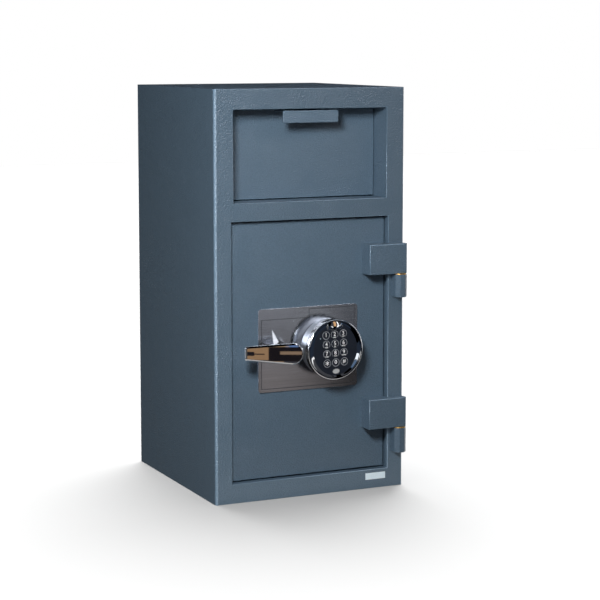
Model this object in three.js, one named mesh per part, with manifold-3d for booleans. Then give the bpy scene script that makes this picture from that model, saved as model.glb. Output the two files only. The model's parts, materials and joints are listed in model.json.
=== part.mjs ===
// Drop safe: a tilting deposit hopper above a hinged strongbox door with a keypad lock.
// Lengths are millimetres. +X is right seen from the front, +Y is back, +Z is up.
// The origin is the centre of the underside.
import * as THREE from 'three';
import { mergeVertices } from 'three/addons/utils/BufferGeometryUtils.js';
import Module from 'manifold-3d';

const wasm = await Module();
wasm.setup();

// Clearances and overruns
const SEAT_GAP = 0.3;
const RUN_GAP = 0.4;
const LOOSE_GAP = 0.6;
const CUT_OVERRUN = 5;

// Facet counts
const SMALL_ROUND_SIDES = 16;
const KEY_SIDES = 20;
const ROUND_SIDES = 32;
const LARGE_ROUND_SIDES = 48;
const CORNER_STEPS = 5;

// Body shell
const BODY_WIDTH = 350;
const BODY_DEPTH = 360;
const BODY_HEIGHT = 689;
const SHELL_PLATE = 4;
const FRAME_PLATE = 6;
const FRAME_EDGE_LAND = 0.5;
const FRAME_TOP_RADIUS = 2.5;
const ANCHOR_HOLE_RADIUS = 7;
const ANCHOR_SPACING_X = 190;
const ANCHOR_SPACING_Y = 190;

// Openings in the front frame
const TOP_RAIL = 34;
const MIDDLE_RAIL = 31;
const BOTTOM_RAIL = 33;
const RECESS_SIDE_RAIL = 34;
const DOORWAY_SIDE_RAIL = 30;
const RECESS_HEIGHT = 153;

// Collar that lines the hopper recess
const RECESS_DEPTH = 47;
const COLLAR_PLATE = 3;
const COLLAR_EAR_DEPTH = 16;
const SILL_SETBACK = 1;
const HOPPER_STOP_DROP = 5.5;

// Tilting hopper
const HOPPER_PLATE = 3;
const HOPPER_SIDE_GAP = 1.5;
const HOPPER_EDGE_GAP = 2;
const HOPPER_PIVOT_RISE = 6;
const HOPPER_PIVOT_SETBACK = 5;
const HOPPER_PIN_RADIUS = 3;
const HOPPER_PIN_HEAD_RADIUS = 5;
const HOPPER_PIN_HEAD = 3;
const TRAY_PLATE = 2;
const TRAY_INSET = 1.5;
const TRAY_TOP_GAP = 1.5;
const TRAY_BACK_SHORTFALL = 10;
const TRAY_FLOOR_DROP = 5;
const TRAY_FLOOR_SLOPE = THREE.MathUtils.degToRad(25);
const TRAY_ARC_STEPS = 16;

// Pull lip on the hopper panel
const LIP_WIDTH = 101;
const LIP_OFFSET = 1.5;
const LIP_SETBACK = 5;
const LIP_HEIGHT = 20;
const LIP_TOP_SETDOWN = 1.3;
const LIP_PLATE = 3;
const LIP_CORNER_RADIUS = 3;

// Anti-theft baffles and the chute
const BAFFLE_PLATE = 3;
const THROAT_GAP = 2.5;
const THROAT_DROP = 135;
const TOOTH_HEIGHT = 15;
const TOOTH_COUNT = 18;
const CHUTE_SLOPE = THREE.MathUtils.degToRad(22);
const CHUTE_DROP_BELOW_SILL = 14;
const CHUTE_LEVEL_LENGTH = 44;
const DROP_SLOT = 94;
const REAR_BAFFLE_REACH = 56;
const REAR_BAFFLE_RISE = 30;
const REAR_BAFFLE_DROP = 40;

// Door plate and its jamb
const DOOR_PLATE = 12;
const DOOR_SETBACK = 11;
const DOOR_GAP = 3;
const DOOR_STOP_GAP = 0.5;
const JAMB_PLATE = 4;
const JAMB_DEPTH = 30.5;
const JAMB_STOP_WIDTH = 9;
const JAMB_STOP_PLATE = 3.5;

// Hinges
const HINGE_RADIUS = 11;
const HINGE_SIDE_MARGIN = 2.5;
const HINGE_FRAME_GAP = 1;
const HINGE_BLOCK_WIDTH = 71.8;
const HINGE_BLOCK_HEIGHT = 51;
const HINGE_BLOCK_FRONT = 7;
const HINGE_BLOCK_CORNER = 4;
const LOWER_HINGE_RISE = 74;
const UPPER_HINGE_DROP = 98;
const LOWER_KNUCKLE_HEIGHT = 42.5;
const UPPER_KNUCKLE_HEIGHT = 39;
const HINGE_WASHER = 1.6;
const HINGE_WASHER_RADIUS = 10.5;
const HINGE_PIN_RADIUS = 4.5;
const HINGE_PIN_END = 6;
const HINGE_PIN_RISE = 32;

// Escutcheon plate
const ESCUTCHEON_HEIGHT = 141;
const ESCUTCHEON_PLATE = 2;
const ESCUTCHEON_CORNER = 5;
const ESCUTCHEON_HANDLE_MARGIN = 46.5;
const ESCUTCHEON_KEYPAD_MARGIN = 58.5;

// Round keypad
const KEYPAD_CENTRE_X = 32;
const KEYPAD_TURN = THREE.MathUtils.degToRad(2.8);
const KEYPAD_KEY_MARGIN = 4.2;
const KEYPAD_BASE_HEIGHT = 29;
const KEYPAD_BASE_FLOOR = 3;
const KEYPAD_WALL = 6;
const KEYPAD_LEDGE = 4;
const KEYPAD_BOARD = 1.6;
const KEYPAD_BOARD_SETBACK = 2.8;
const BEZEL_WALL = 3;
const BEZEL_SKIRT = 4;
const BEZEL_RISE = 8.5;
const BEZEL_EDGE = 1.7;
const BEZEL_CROWN = 4;
const BEZEL_SLOPE = 3.5;
const BEZEL_LIP = 0.6;
const FACE_PLATE = 6;
const FACE_SEAT = 1.5;
const POD_KEY_GAP = 1.3;
const POD_BOTTOM_WIDTH = 25;
const POD_WIDTH = 34.8;
const POD_HEIGHT = 3.4;
const POD_ARC_STEPS = 8;

// Keys
const KEY_HOLE_RADIUS = 7;
const KEY_LAND = 1.9;
const KEY_GRID_RISE = 1.85;
const KEY_PROUD = 0.2;
const KEY_FLANGE_LIP = 0.6;
const KEY_FLANGE = 1.2;
const KEY_ROWS = [
  ['key_1', 'key_2', 'key_3'],
  ['key_4', 'key_5', 'key_6'],
  ['key_7', 'key_8', 'key_9'],
  ['key_star', 'key_0', 'key_hash'],
];

// Lever handle, spindle and cam
const HANDLE_SPACING = 79;
const HANDLE_DROP = 1;
const LEVER_LENGTH = 88;
const LEVER_HUB_RADIUS = 18;
const LEVER_END_DROP = 5;
const LEVER_END_RADIUS = 3;
const LEVER_THICKNESS = 7;
const LEVER_CHAMFER = 2.6;
const LEVER_STANDOFF = 36;
const LEVER_NECK_RADIUS = 12;
const LEVER_HUB_STEPS = 10;
const SPINDLE_RADIUS = 5;
const SPINDLE_COLLAR_RADIUS = 8;
const SPINDLE_COLLAR = 3;
const CAM_PLATE = 6;
const CAM_HUB_RADIUS = 11;
const CAM_ARM_RADIUS = 24;
const CAM_END_RADIUS = 7;
const CAM_PIN_RADIUS = 3.5;
const CAM_CARRIAGE_GAP = 2.4;
const CAM_REST_ANGLE = THREE.MathUtils.degToRad(-60);

// Locking bolts, their carriage and guide
const BOLT_RADIUS = 12.5;
const BOLT_TIP_PROUD = 3;
const BOLT_JAMB_GAP = 1;
const BOLT_COVER_MARGIN = 52.5;
const BOLT_END_MARGIN = 17;
const CARRIAGE_BAR = 8;
const CARRIAGE_BAR_OFFSET = 19;
const CARRIAGE_PLATE = 6;
const CARRIAGE_ARM_HEIGHT = 22;
const CARRIAGE_SLOT_GAP = 1;
const CARRIAGE_SLOT_FLOOR = 8.5;
const CARRIAGE_TAB_HEIGHT = 8;
const CARRIAGE_TAB_WIDTH = 5;
const CARRIAGE_TAB_END = 3;
const GUIDE_PLATE = 6;
const GUIDE_INSET = 6;
const GUIDE_BACK_MARGIN = 5.5;
const GUIDE_END_MARGIN = 20;
const DEAD_BAR_FOOT = 7;
const DEAD_BAR_STOP_GAP = 3;
const DEAD_BAR_JAMB_GAP = 3.5;
const DEAD_BAR_DEPTH = 18;
const DEAD_BAR_NOSE = 8.5;

// Electronic lock behind the keypad
const LOCK_WIDTH = 60;
const LOCK_HEIGHT = 83;
const LOCK_DEPTH = 26;
const LOCK_TAB_GAP = 2.6;
const LOCK_BOLT_WIDTH = 12;
const LOCK_BOLT_THICKNESS = 8;
const LOCK_BOLT_LENGTH = 40;
const LOCK_BOLT_TAB_GAP = 6;
const LOCK_POCKET_SPARE = 13;
const CABLE_RADIUS = 2;
const CABLE_BEND = 8;
const CABLE_RISE = 16;
const CABLE_SIDES = 8;
const CABLE_STEPS = 12;
const CABLE_HOLE_RADIUS = 3.2;

// Cover over the boltwork
const COVER_BAR_GAP = 4;
const COVER_END_MARGIN = 29;
const COVER_DEPTH = 55;
const COVER_SHEET = 2;
const COVER_POST_RADIUS = 6;
const COVER_POST_INSET_X = 22;
const COVER_POST_INSET_Z = 16;
const SCREW_RADIUS = 2.5;
const SCREW_HEAD_RADIUS = 5;
const SCREW_HEAD = 3;
const SCREW_LENGTH = 14;

// Blank paper label on the lower rail
const LABEL_WIDTH = 38;
const LABEL_HEIGHT = 11.5;
const LABEL_SHEET = 0.3;
const LABEL_SIDE_MARGIN = 34;
const LABEL_BOTTOM = 15.5;

// Planes and lines that several pieces share
const FRONT = -BODY_DEPTH / 2;
const BACK = BODY_DEPTH / 2;
const FRAME_BACK = FRONT + FRAME_PLATE;
const FRAME_EDGE_RADIUS = FRAME_PLATE - FRAME_EDGE_LAND;
const INNER_HALF = BODY_WIDTH / 2 - SHELL_PLATE;
const INNER_BACK = BACK - SHELL_PLATE;
const INNER_TOP = BODY_HEIGHT - SHELL_PLATE;
const RECESS_HALF = BODY_WIDTH / 2 - RECESS_SIDE_RAIL;
const RECESS_TOP = BODY_HEIGHT - TOP_RAIL;
const RECESS_BOTTOM = RECESS_TOP - RECESS_HEIGHT;
const DOORWAY_HALF = BODY_WIDTH / 2 - DOORWAY_SIDE_RAIL;
const DOORWAY_TOP = RECESS_BOTTOM - MIDDLE_RAIL;
const DOORWAY_BOTTOM = BOTTOM_RAIL;
const PANEL_FRONT = FRONT + RECESS_DEPTH;
const PANEL_BACK = PANEL_FRONT + HOPPER_PLATE;
const PANEL_HALF = RECESS_HALF - HOPPER_SIDE_GAP;
const HOPPER_PIVOT_Y = PANEL_BACK + HOPPER_PIVOT_SETBACK;
const HOPPER_PIVOT_Z = RECESS_BOTTOM + HOPPER_PIVOT_RISE;
const TRAY_HALF = PANEL_HALF - TRAY_INSET;
const TRAY_RADIUS = RECESS_TOP - HOPPER_STOP_DROP - TRAY_TOP_GAP - HOPPER_PIVOT_Z;
const CHUTE_TOP = RECESS_BOTTOM - CHUTE_DROP_BELOW_SILL;
const DOOR_FRONT = FRONT + DOOR_SETBACK;
const DOOR_BACK = DOOR_FRONT + DOOR_PLATE;
const DOOR_HALF = DOORWAY_HALF - DOOR_GAP;
const DOOR_MIDDLE_Z = (DOORWAY_BOTTOM + DOORWAY_TOP) / 2;
const JAMB_BACK = FRAME_BACK + JAMB_DEPTH;
const JAMB_STOP_X = DOORWAY_HALF - JAMB_STOP_WIDTH;
const HINGE_X = BODY_WIDTH / 2 - HINGE_SIDE_MARGIN - HINGE_RADIUS;
const HINGE_Y = FRONT - HINGE_FRAME_GAP - HINGE_RADIUS;
const ESCUTCHEON_FRONT = DOOR_FRONT - ESCUTCHEON_PLATE;
const HANDLE_X = KEYPAD_CENTRE_X - HANDLE_SPACING;
const HANDLE_Z = DOOR_MIDDLE_Z - HANDLE_DROP;
const KEY_PITCH = 2 * KEY_HOLE_RADIUS + KEY_LAND;
const KEY_FLANGE_RADIUS = KEY_HOLE_RADIUS + KEY_FLANGE_LIP;
const KEY_TOP_ROW = KEY_GRID_RISE + ((KEY_ROWS.length - 1) * KEY_PITCH) / 2;
const KEY_REACH = Math.hypot(KEY_PITCH, KEY_TOP_ROW) + KEY_FLANGE_RADIUS;
const KEYPAD_BASE_RADIUS = KEY_REACH + KEYPAD_KEY_MARGIN + KEYPAD_WALL;
const BEZEL_RADIUS = KEYPAD_BASE_RADIUS + BEZEL_WALL;
const BEZEL_CROWN_RADIUS = BEZEL_RADIUS - BEZEL_CROWN;
const BEZEL_LIP_RADIUS = BEZEL_CROWN_RADIUS - BEZEL_SLOPE;
const POD_BOTTOM = KEY_TOP_ROW + KEY_HOLE_RADIUS + POD_KEY_GAP;
const CAM_FRONT = DOOR_BACK + SPINDLE_COLLAR;
const CARRIAGE_FRONT = CAM_FRONT + CAM_PLATE + CAM_CARRIAGE_GAP;
const CARRIAGE_BACK = CARRIAGE_FRONT + CARRIAGE_PLATE;
const CARRIAGE_SLOT_BOTTOM = HANDLE_Z - CAM_ARM_RADIUS - CAM_PIN_RADIUS - LOOSE_GAP;
const CARRIAGE_ARM_BOTTOM = CARRIAGE_SLOT_BOTTOM - CARRIAGE_SLOT_FLOOR;
const CARRIAGE_ARM_TOP = CARRIAGE_ARM_BOTTOM + CARRIAGE_ARM_HEIGHT;
const CARRIAGE_TAB_TOP = CARRIAGE_ARM_TOP + CARRIAGE_TAB_HEIGHT;
const LOCK_BOTTOM = CARRIAGE_TAB_TOP + LOCK_TAB_GAP;
const DEAD_BAR_RIGHT = JAMB_STOP_X - DEAD_BAR_STOP_GAP;
const DEAD_BAR_LEFT = DEAD_BAR_RIGHT - DEAD_BAR_FOOT;
const COVER_HALF = DEAD_BAR_LEFT - COVER_BAR_GAP;
const COVER_BOTTOM = DOORWAY_BOTTOM + COVER_END_MARGIN;
const COVER_TOP = DOORWAY_TOP - COVER_END_MARGIN;
const COVER_BACK = DOOR_BACK + COVER_DEPTH;
const BOLT_TIP_X = -COVER_HALF - BOLT_TIP_PROUD;
const BOLT_TAIL_X = HANDLE_X - CARRIAGE_BAR_OFFSET;
const BOLT_Y = JAMB_BACK + BOLT_JAMB_GAP + BOLT_RADIUS;
const BOLT_BACK = BOLT_Y + BOLT_RADIUS;
const BOLT_LOW_Z = COVER_BOTTOM + BOLT_COVER_MARGIN;
const BOLT_HIGH_Z = COVER_TOP - BOLT_COVER_MARGIN;
const BOLTS = [
  { name: 'locking_bolt_lower', z: BOLT_LOW_Z },
  { name: 'locking_bolt_middle', z: DOOR_MIDDLE_Z },
  { name: 'locking_bolt_upper', z: BOLT_HIGH_Z },
];
const CABLE_X = KEYPAD_CENTRE_X + LOCK_WIDTH / 2 + SEAT_GAP + CABLE_BEND;
const CABLE_Z = DOOR_MIDDLE_Z + CABLE_RISE;

// Colours, roughness and metalness of each material
const POWDER_COAT = { color: 0x56677a, roughness: 0.62, metalness: 0.1 };
const BRUSHED_STEEL = { color: 0x9a9a98, roughness: 0.34, metalness: 1 };
const CHROME = { color: 0xd4d6d8, roughness: 0.08, metalness: 1 };
const SATIN_METAL = { color: 0x565a5e, roughness: 0.4, metalness: 0.9 };
const BRIGHT_STEEL = { color: 0xb4b6b8, roughness: 0.3, metalness: 1 };
const BRASS = { color: 0xc29a4c, roughness: 0.3, metalness: 1 };
const KEYPAD_PLASTIC = { color: 0x1b212c, roughness: 0.4, metalness: 0 };
const KEY_PLASTIC = { color: 0x1e2430, roughness: 0.45, metalness: 0 };
const BOARD_GREEN = { color: 0x1f4a33, roughness: 0.6, metalness: 0 };
const ZINC_CASE = { color: 0x8f9296, roughness: 0.5, metalness: 0.8 };
const CABLE_RUBBER = { color: 0x26282b, roughness: 0.7, metalness: 0 };
const LABEL_PAPER = { color: 0xe9ecef, roughness: 0.8, metalness: 0 };

// A three.js geometry as a closed solid that can be joined and cut.
function toSolid(geometry) {
  geometry.deleteAttribute('normal');
  geometry.deleteAttribute('uv');
  const welded = mergeVertices(geometry);
  return new wasm.Manifold(new wasm.Mesh({
    numProp: 3,
    vertProperties: Float32Array.from(welded.attributes.position.array),
    triVerts: Uint32Array.from(welded.index.array),
  }));
}

// A box between two exact planes on each axis.
function block([x0, x1], [y0, y1], [z0, z1]) {
  const geometry = new THREE.BoxGeometry(1, 1, 1);
  const position = geometry.attributes.position;
  for (let i = 0; i < position.count; i += 1) {
    const x = position.getX(i) < 0 ? x0 : x1;
    const y = position.getY(i) < 0 ? y0 : y1;
    const z = position.getZ(i) < 0 ? z0 : z1;
    position.setXYZ(i, x, y, z);
  }
  return toSolid(geometry);
}

// A drawn outline pushed along one axis between two exact planes.
// The outline is drawn in (y, z) for axis x, in (x, z) for axis y and in (x, y) for axis z.
function prism(axis, shape, from, to) {
  const options = { depth: 1, bevelEnabled: false, curveSegments: CORNER_STEPS };
  const geometry = new THREE.ExtrudeGeometry(shape, options);
  const position = geometry.attributes.position;
  for (let i = 0; i < position.count; i += 1) {
    const u = position.getX(i);
    const v = position.getY(i);
    const far = position.getZ(i) === 1;
    if (axis === 'x') position.setXYZ(i, far ? to : from, u, v);
    if (axis === 'y') position.setXYZ(i, u, far ? from : to, v);
    if (axis === 'z') position.setXYZ(i, u, v, far ? to : from);
  }
  return toSolid(geometry);
}

function outline(points) {
  return new THREE.Shape(points.map(([u, v]) => new THREE.Vector2(u, v)));
}

function circle(radius, sides, [u, v] = [0, 0]) {
  const points = [];
  for (let i = 0; i < sides; i += 1) {
    const angle = (2 * Math.PI * i) / sides;
    points.push([u + radius * Math.cos(angle), v + radius * Math.sin(angle)]);
  }
  return outline(points);
}

// A rectangle with its four corners rounded.
function roundedRectangle(u0, u1, v0, v1, radius) {
  const shape = new THREE.Shape();
  shape.moveTo(u0 + radius, v0);
  shape.lineTo(u1 - radius, v0);
  shape.absarc(u1 - radius, v0 + radius, radius, -Math.PI / 2, 0, false);
  shape.absarc(u1 - radius, v1 - radius, radius, 0, Math.PI / 2, false);
  shape.absarc(u0 + radius, v1 - radius, radius, Math.PI / 2, Math.PI, false);
  shape.absarc(u0 + radius, v0 + radius, radius, Math.PI, 1.5 * Math.PI, false);
  return shape;
}

// A round bar along one axis.
function rod(axis, radius, from, to, centre, sides = ROUND_SIDES) {
  return prism(axis, circle(radius, sides, centre), from, to);
}

// A round bar that cuts right through whatever lies between two planes.
function bore(axis, radius, from, to, centre, sides = ROUND_SIDES) {
  return rod(axis, radius, from - CUT_OVERRUN, to + CUT_OVERRUN, centre, sides);
}

// A profile of (radius, y) points turned round the Y axis.
function turned(profile, sides) {
  const points = profile.map(([radius, y]) => new THREE.Vector2(radius, y));
  return toSolid(new THREE.LatheGeometry(points, sides));
}

// A named mesh in its group, with a material of its own.
function addPiece(group, name, solid, look) {
  const { vertProperties, triVerts } = solid.getMesh();
  const geometry = new THREE.BufferGeometry();
  geometry.setAttribute('position', new THREE.BufferAttribute(vertProperties, 3));
  geometry.setIndex(new THREE.BufferAttribute(triVerts, 1));
  geometry.computeVertexNormals();
  const mesh = new THREE.Mesh(geometry, new THREE.MeshStandardMaterial(look));
  mesh.name = name;
  group.add(mesh);
  return mesh;
}

// Front frame: one plate with the recess and the doorway cut out and its outer edges rounded
function frontFrame() {
  const half = BODY_WIDTH / 2;
  const topX = half - FRAME_TOP_RADIUS;
  const topZ = BODY_HEIGHT - FRAME_TOP_RADIUS;
  const edgeX = half - FRAME_EDGE_RADIUS;
  const edgeY = FRONT + FRAME_EDGE_RADIUS;
  const face = new THREE.Shape();
  face.moveTo(-half, 0);
  face.lineTo(half, 0);
  face.lineTo(half, topZ);
  face.absarc(topX, topZ, FRAME_TOP_RADIUS, 0, Math.PI / 2, false);
  face.absarc(-topX, topZ, FRAME_TOP_RADIUS, Math.PI / 2, Math.PI, false);
  const plan = new THREE.Shape();
  plan.moveTo(half, FRAME_BACK);
  plan.lineTo(-half, FRAME_BACK);
  plan.absarc(-edgeX, edgeY, FRAME_EDGE_RADIUS, Math.PI, 1.5 * Math.PI, false);
  plan.absarc(edgeX, edgeY, FRAME_EDGE_RADIUS, -Math.PI / 2, 0, false);
  const through = [FRONT - CUT_OVERRUN, FRAME_BACK + CUT_OVERRUN];
  return prism('y', face, FRONT, FRAME_BACK)
    .intersect(prism('z', plan, 0, BODY_HEIGHT))
    .subtract(block([-RECESS_HALF, RECESS_HALF], through, [RECESS_BOTTOM, RECESS_TOP]))
    .subtract(block([-DOORWAY_HALF, DOORWAY_HALF], through, [DOORWAY_BOTTOM, DOORWAY_TOP]));
}

function floorPlate() {
  let plate = block([-INNER_HALF, INNER_HALF], [FRAME_BACK, INNER_BACK], [0, SHELL_PLATE]);
  for (const side of [-1, 1]) {
    for (const end of [-1, 1]) {
      const centre = [(side * ANCHOR_SPACING_X) / 2, (end * ANCHOR_SPACING_Y) / 2];
      plate = plate.subtract(bore('z', ANCHOR_HOLE_RADIUS, 0, SHELL_PLATE, centre, SMALL_ROUND_SIDES));
    }
  }
  return plate;
}

// Recess collar: four walls behind the front frame, ears for the hopper pins and a stop for the panel
function recessCollar() {
  const earBack = PANEL_BACK + COLLAR_EAR_DEPTH;
  const stopFront = PANEL_BACK + SEAT_GAP;
  const stopBack = stopFront + COLLAR_PLATE;
  const outerHalf = RECESS_HALF + COLLAR_PLATE;
  const outerTop = RECESS_TOP + COLLAR_PLATE;
  const outerBottom = RECESS_BOTTOM - COLLAR_PLATE;
  const width = [-outerHalf, outerHalf];
  const pivot = [HOPPER_PIVOT_Y, HOPPER_PIVOT_Z];
  const roof = block(width, [FRAME_BACK, stopBack], [RECESS_TOP, outerTop]);
  const sill = block(width, [FRAME_BACK, PANEL_FRONT - SILL_SETBACK], [outerBottom, RECESS_BOTTOM]);
  const stop = block(width, [stopFront, stopBack], [RECESS_TOP - HOPPER_STOP_DROP, outerTop]);
  let collar = roof.add(sill).add(stop);
  for (const wall of [[-outerHalf, -RECESS_HALF], [RECESS_HALF, outerHalf]]) {
    collar = collar.add(block(wall, [FRAME_BACK, earBack], [outerBottom, outerTop]));
  }
  const pinRadius = HOPPER_PIN_RADIUS + SEAT_GAP;
  return collar.subtract(bore('x', pinRadius, -outerHalf, outerHalf, pivot, SMALL_ROUND_SIDES));
}

// Door jamb: four walls behind the doorway with a stop flange behind the door plate
function doorJamb() {
  const outerX = DOORWAY_HALF + JAMB_PLATE;
  const outerZ = [DOORWAY_BOTTOM - JAMB_PLATE, DOORWAY_TOP + JAMB_PLATE];
  const wallY = [FRAME_BACK, JAMB_BACK];
  const stopY = [DOOR_BACK + DOOR_STOP_GAP, DOOR_BACK + DOOR_STOP_GAP + JAMB_STOP_PLATE];
  const cutY = [FRAME_BACK - CUT_OVERRUN, JAMB_BACK + CUT_OVERRUN];
  const stopZ = [DOORWAY_BOTTOM + JAMB_STOP_WIDTH, DOORWAY_TOP - JAMB_STOP_WIDTH];
  const walls = block([-outerX, outerX], wallY, outerZ)
    .subtract(block([-DOORWAY_HALF, DOORWAY_HALF], cutY, [DOORWAY_BOTTOM, DOORWAY_TOP]));
  const stop = block([-outerX, outerX], stopY, outerZ)
    .subtract(block([-JAMB_STOP_X, JAMB_STOP_X], cutY, stopZ));
  return walls.add(stop);
}

// Throat baffle: a plate hanging from the roof behind the hopper, with a saw-toothed lower edge
function throatBaffle() {
  const front = HOPPER_PIVOT_Y + TRAY_RADIUS + THROAT_GAP;
  const bottom = INNER_TOP - THROAT_DROP;
  const pitch = (2 * INNER_HALF) / TOOTH_COUNT;
  const points = [[INNER_HALF, INNER_TOP], [-INNER_HALF, INNER_TOP]];
  for (let i = 0; i < TOOTH_COUNT; i += 1) {
    points.push([-INNER_HALF + i * pitch, bottom + TOOTH_HEIGHT]);
    points.push([-INNER_HALF + (i + 0.5) * pitch, bottom]);
  }
  points.push([INNER_HALF, bottom + TOOTH_HEIGHT]);
  return prism('y', outline(points), front, front + BAFFLE_PLATE);
}

// Drop partition: level behind the front frame, then sloping down to the drop slot at the back
function dropPartition() {
  const bendY = FRAME_BACK + CHUTE_LEVEL_LENGTH;
  const endY = INNER_BACK - DROP_SLOT;
  const fall = (endY - bendY) * Math.tan(CHUTE_SLOPE);
  const points = [
    [FRAME_BACK, CHUTE_TOP - BAFFLE_PLATE],
    [bendY, CHUTE_TOP - BAFFLE_PLATE],
    [endY, CHUTE_TOP - BAFFLE_PLATE - fall],
    [endY, CHUTE_TOP - fall],
    [bendY, CHUTE_TOP],
    [FRAME_BACK, CHUTE_TOP],
  ];
  return prism('x', outline(points), -INNER_HALF, INNER_HALF);
}

function rearBaffle() {
  const edge = INNER_BACK - REAR_BAFFLE_REACH;
  const low = CHUTE_TOP - REAR_BAFFLE_DROP;
  const high = low + REAR_BAFFLE_RISE;
  const points = [
    [edge, low],
    [INNER_BACK, high],
    [INNER_BACK, high + BAFFLE_PLATE],
    [edge, low + BAFFLE_PLATE],
  ];
  return prism('x', outline(points), -INNER_HALF, INNER_HALF);
}

function addBody(group) {
  const half = BODY_WIDTH / 2;
  const innerX = [-INNER_HALF, INNER_HALF];
  const innerY = [FRAME_BACK, INNER_BACK];
  const sideY = [FRAME_BACK, BACK];
  const height = [0, BODY_HEIGHT];
  addPiece(group, 'front_frame', frontFrame(), POWDER_COAT);
  addPiece(group, 'side_plate_left', block([-half, -INNER_HALF], sideY, height), POWDER_COAT);
  addPiece(group, 'side_plate_right', block([INNER_HALF, half], sideY, height), POWDER_COAT);
  addPiece(group, 'top_plate', block(innerX, innerY, [INNER_TOP, BODY_HEIGHT]), POWDER_COAT);
  addPiece(group, 'floor_plate', floorPlate(), POWDER_COAT);
  addPiece(group, 'back_plate', block(innerX, [INNER_BACK, BACK], height), POWDER_COAT);
  addPiece(group, 'recess_collar', recessCollar(), POWDER_COAT);
  addPiece(group, 'door_jamb', doorJamb(), POWDER_COAT);
  addPiece(group, 'throat_baffle', throatBaffle(), POWDER_COAT);
  addPiece(group, 'drop_partition', dropPartition(), POWDER_COAT);
  addPiece(group, 'rear_baffle', rearBaffle(), POWDER_COAT);
  const labelRight = half - LABEL_SIDE_MARGIN;
  const labelX = [labelRight - LABEL_WIDTH, labelRight];
  const labelY = [FRONT - LABEL_SHEET, FRONT];
  const labelZ = [LABEL_BOTTOM, LABEL_BOTTOM + LABEL_HEIGHT];
  addPiece(group, 'blank_label', block(labelX, labelY, labelZ), LABEL_PAPER);
}

// Hinge block on the door: a bar whose hidden back corner turns round the hinge axis
function hingeBlock(bottom) {
  const right = HINGE_X + HINGE_RADIUS;
  const left = right - HINGE_BLOCK_WIDTH;
  const front = HINGE_Y - HINGE_BLOCK_FRONT;
  const cornerX = right - HINGE_BLOCK_CORNER;
  const cornerY = front + HINGE_BLOCK_CORNER;
  const plan = new THREE.Shape();
  plan.moveTo(left, DOOR_FRONT);
  plan.lineTo(left, front);
  plan.lineTo(cornerX, front);
  plan.absarc(cornerX, cornerY, HINGE_BLOCK_CORNER, -Math.PI / 2, 0, false);
  plan.absarc(HINGE_X, HINGE_Y, HINGE_RADIUS, 0, Math.PI / 2, false);
  plan.lineTo(DOOR_HALF, HINGE_Y + HINGE_RADIUS);
  plan.lineTo(DOOR_HALF, DOOR_FRONT);
  const holeTop = bottom + HINGE_PIN_RISE + RUN_GAP;
  const hole = rod('z', HINGE_PIN_RADIUS + RUN_GAP, bottom - CUT_OVERRUN, holeTop, [HINGE_X, HINGE_Y]);
  return prism('z', plan, bottom, bottom + HINGE_BLOCK_HEIGHT).subtract(hole);
}

// Body knuckle: D-shaped in plan, welded to the front frame, with a blind bore for the pin
function hingeKnuckle(top, height) {
  const plan = new THREE.Shape();
  plan.moveTo(HINGE_X + HINGE_RADIUS, FRONT);
  plan.lineTo(HINGE_X - HINGE_RADIUS, FRONT);
  plan.lineTo(HINGE_X - HINGE_RADIUS, HINGE_Y);
  plan.absarc(HINGE_X, HINGE_Y, HINGE_RADIUS, Math.PI, 2 * Math.PI, false);
  const holeBottom = top - height + HINGE_PIN_END - SEAT_GAP;
  const hole = rod('z', HINGE_PIN_RADIUS + SEAT_GAP, holeBottom, top + CUT_OVERRUN, [HINGE_X, HINGE_Y]);
  return prism('z', plan, top - height, top).subtract(hole);
}

function addHinges(body, door) {
  const centre = [HINGE_X, HINGE_Y];
  const hinges = [
    { place: 'lower', blockBottom: DOORWAY_BOTTOM + LOWER_HINGE_RISE, knuckleHeight: LOWER_KNUCKLE_HEIGHT },
    { place: 'upper', blockBottom: DOORWAY_TOP - UPPER_HINGE_DROP, knuckleHeight: UPPER_KNUCKLE_HEIGHT },
  ];
  for (const { place, blockBottom, knuckleHeight } of hinges) {
    const washerTop = blockBottom - SEAT_GAP;
    const knuckleTop = washerTop - HINGE_WASHER;
    const washer = rod('z', HINGE_WASHER_RADIUS, knuckleTop, washerTop, centre)
      .subtract(bore('z', HINGE_PIN_RADIUS + SEAT_GAP, knuckleTop, washerTop, centre));
    const pinFrom = knuckleTop - knuckleHeight + HINGE_PIN_END;
    const pin = rod('z', HINGE_PIN_RADIUS, pinFrom, blockBottom + HINGE_PIN_RISE, centre);
    addPiece(body, `hinge_knuckle_${place}`, hingeKnuckle(knuckleTop, knuckleHeight), POWDER_COAT);
    addPiece(body, `hinge_washer_${place}`, washer, BRASS);
    addPiece(body, `hinge_pin_${place}`, pin, BRIGHT_STEEL);
    addPiece(door, `hinge_block_${place}`, hingeBlock(blockBottom), POWDER_COAT);
  }
}

// Hopper: the panel at the back of the recess, its pull lip and the tray behind it
function hopperLip() {
  const left = LIP_OFFSET - LIP_WIDTH / 2;
  const right = LIP_OFFSET + LIP_WIDTH / 2;
  const front = FRONT + LIP_SETBACK;
  const top = RECESS_TOP - HOPPER_EDGE_GAP - LIP_TOP_SETDOWN;
  const face = roundedRectangle(left, right, top - LIP_HEIGHT, top, LIP_CORNER_RADIUS);
  const flange = prism('y', face, front, front + LIP_PLATE);
  const shelfX = [left + LIP_CORNER_RADIUS, right - LIP_CORNER_RADIUS];
  const shelf = block(shelfX, [front, PANEL_FRONT], [top - LIP_PLATE, top]);
  return flange.add(shelf);
}

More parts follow.
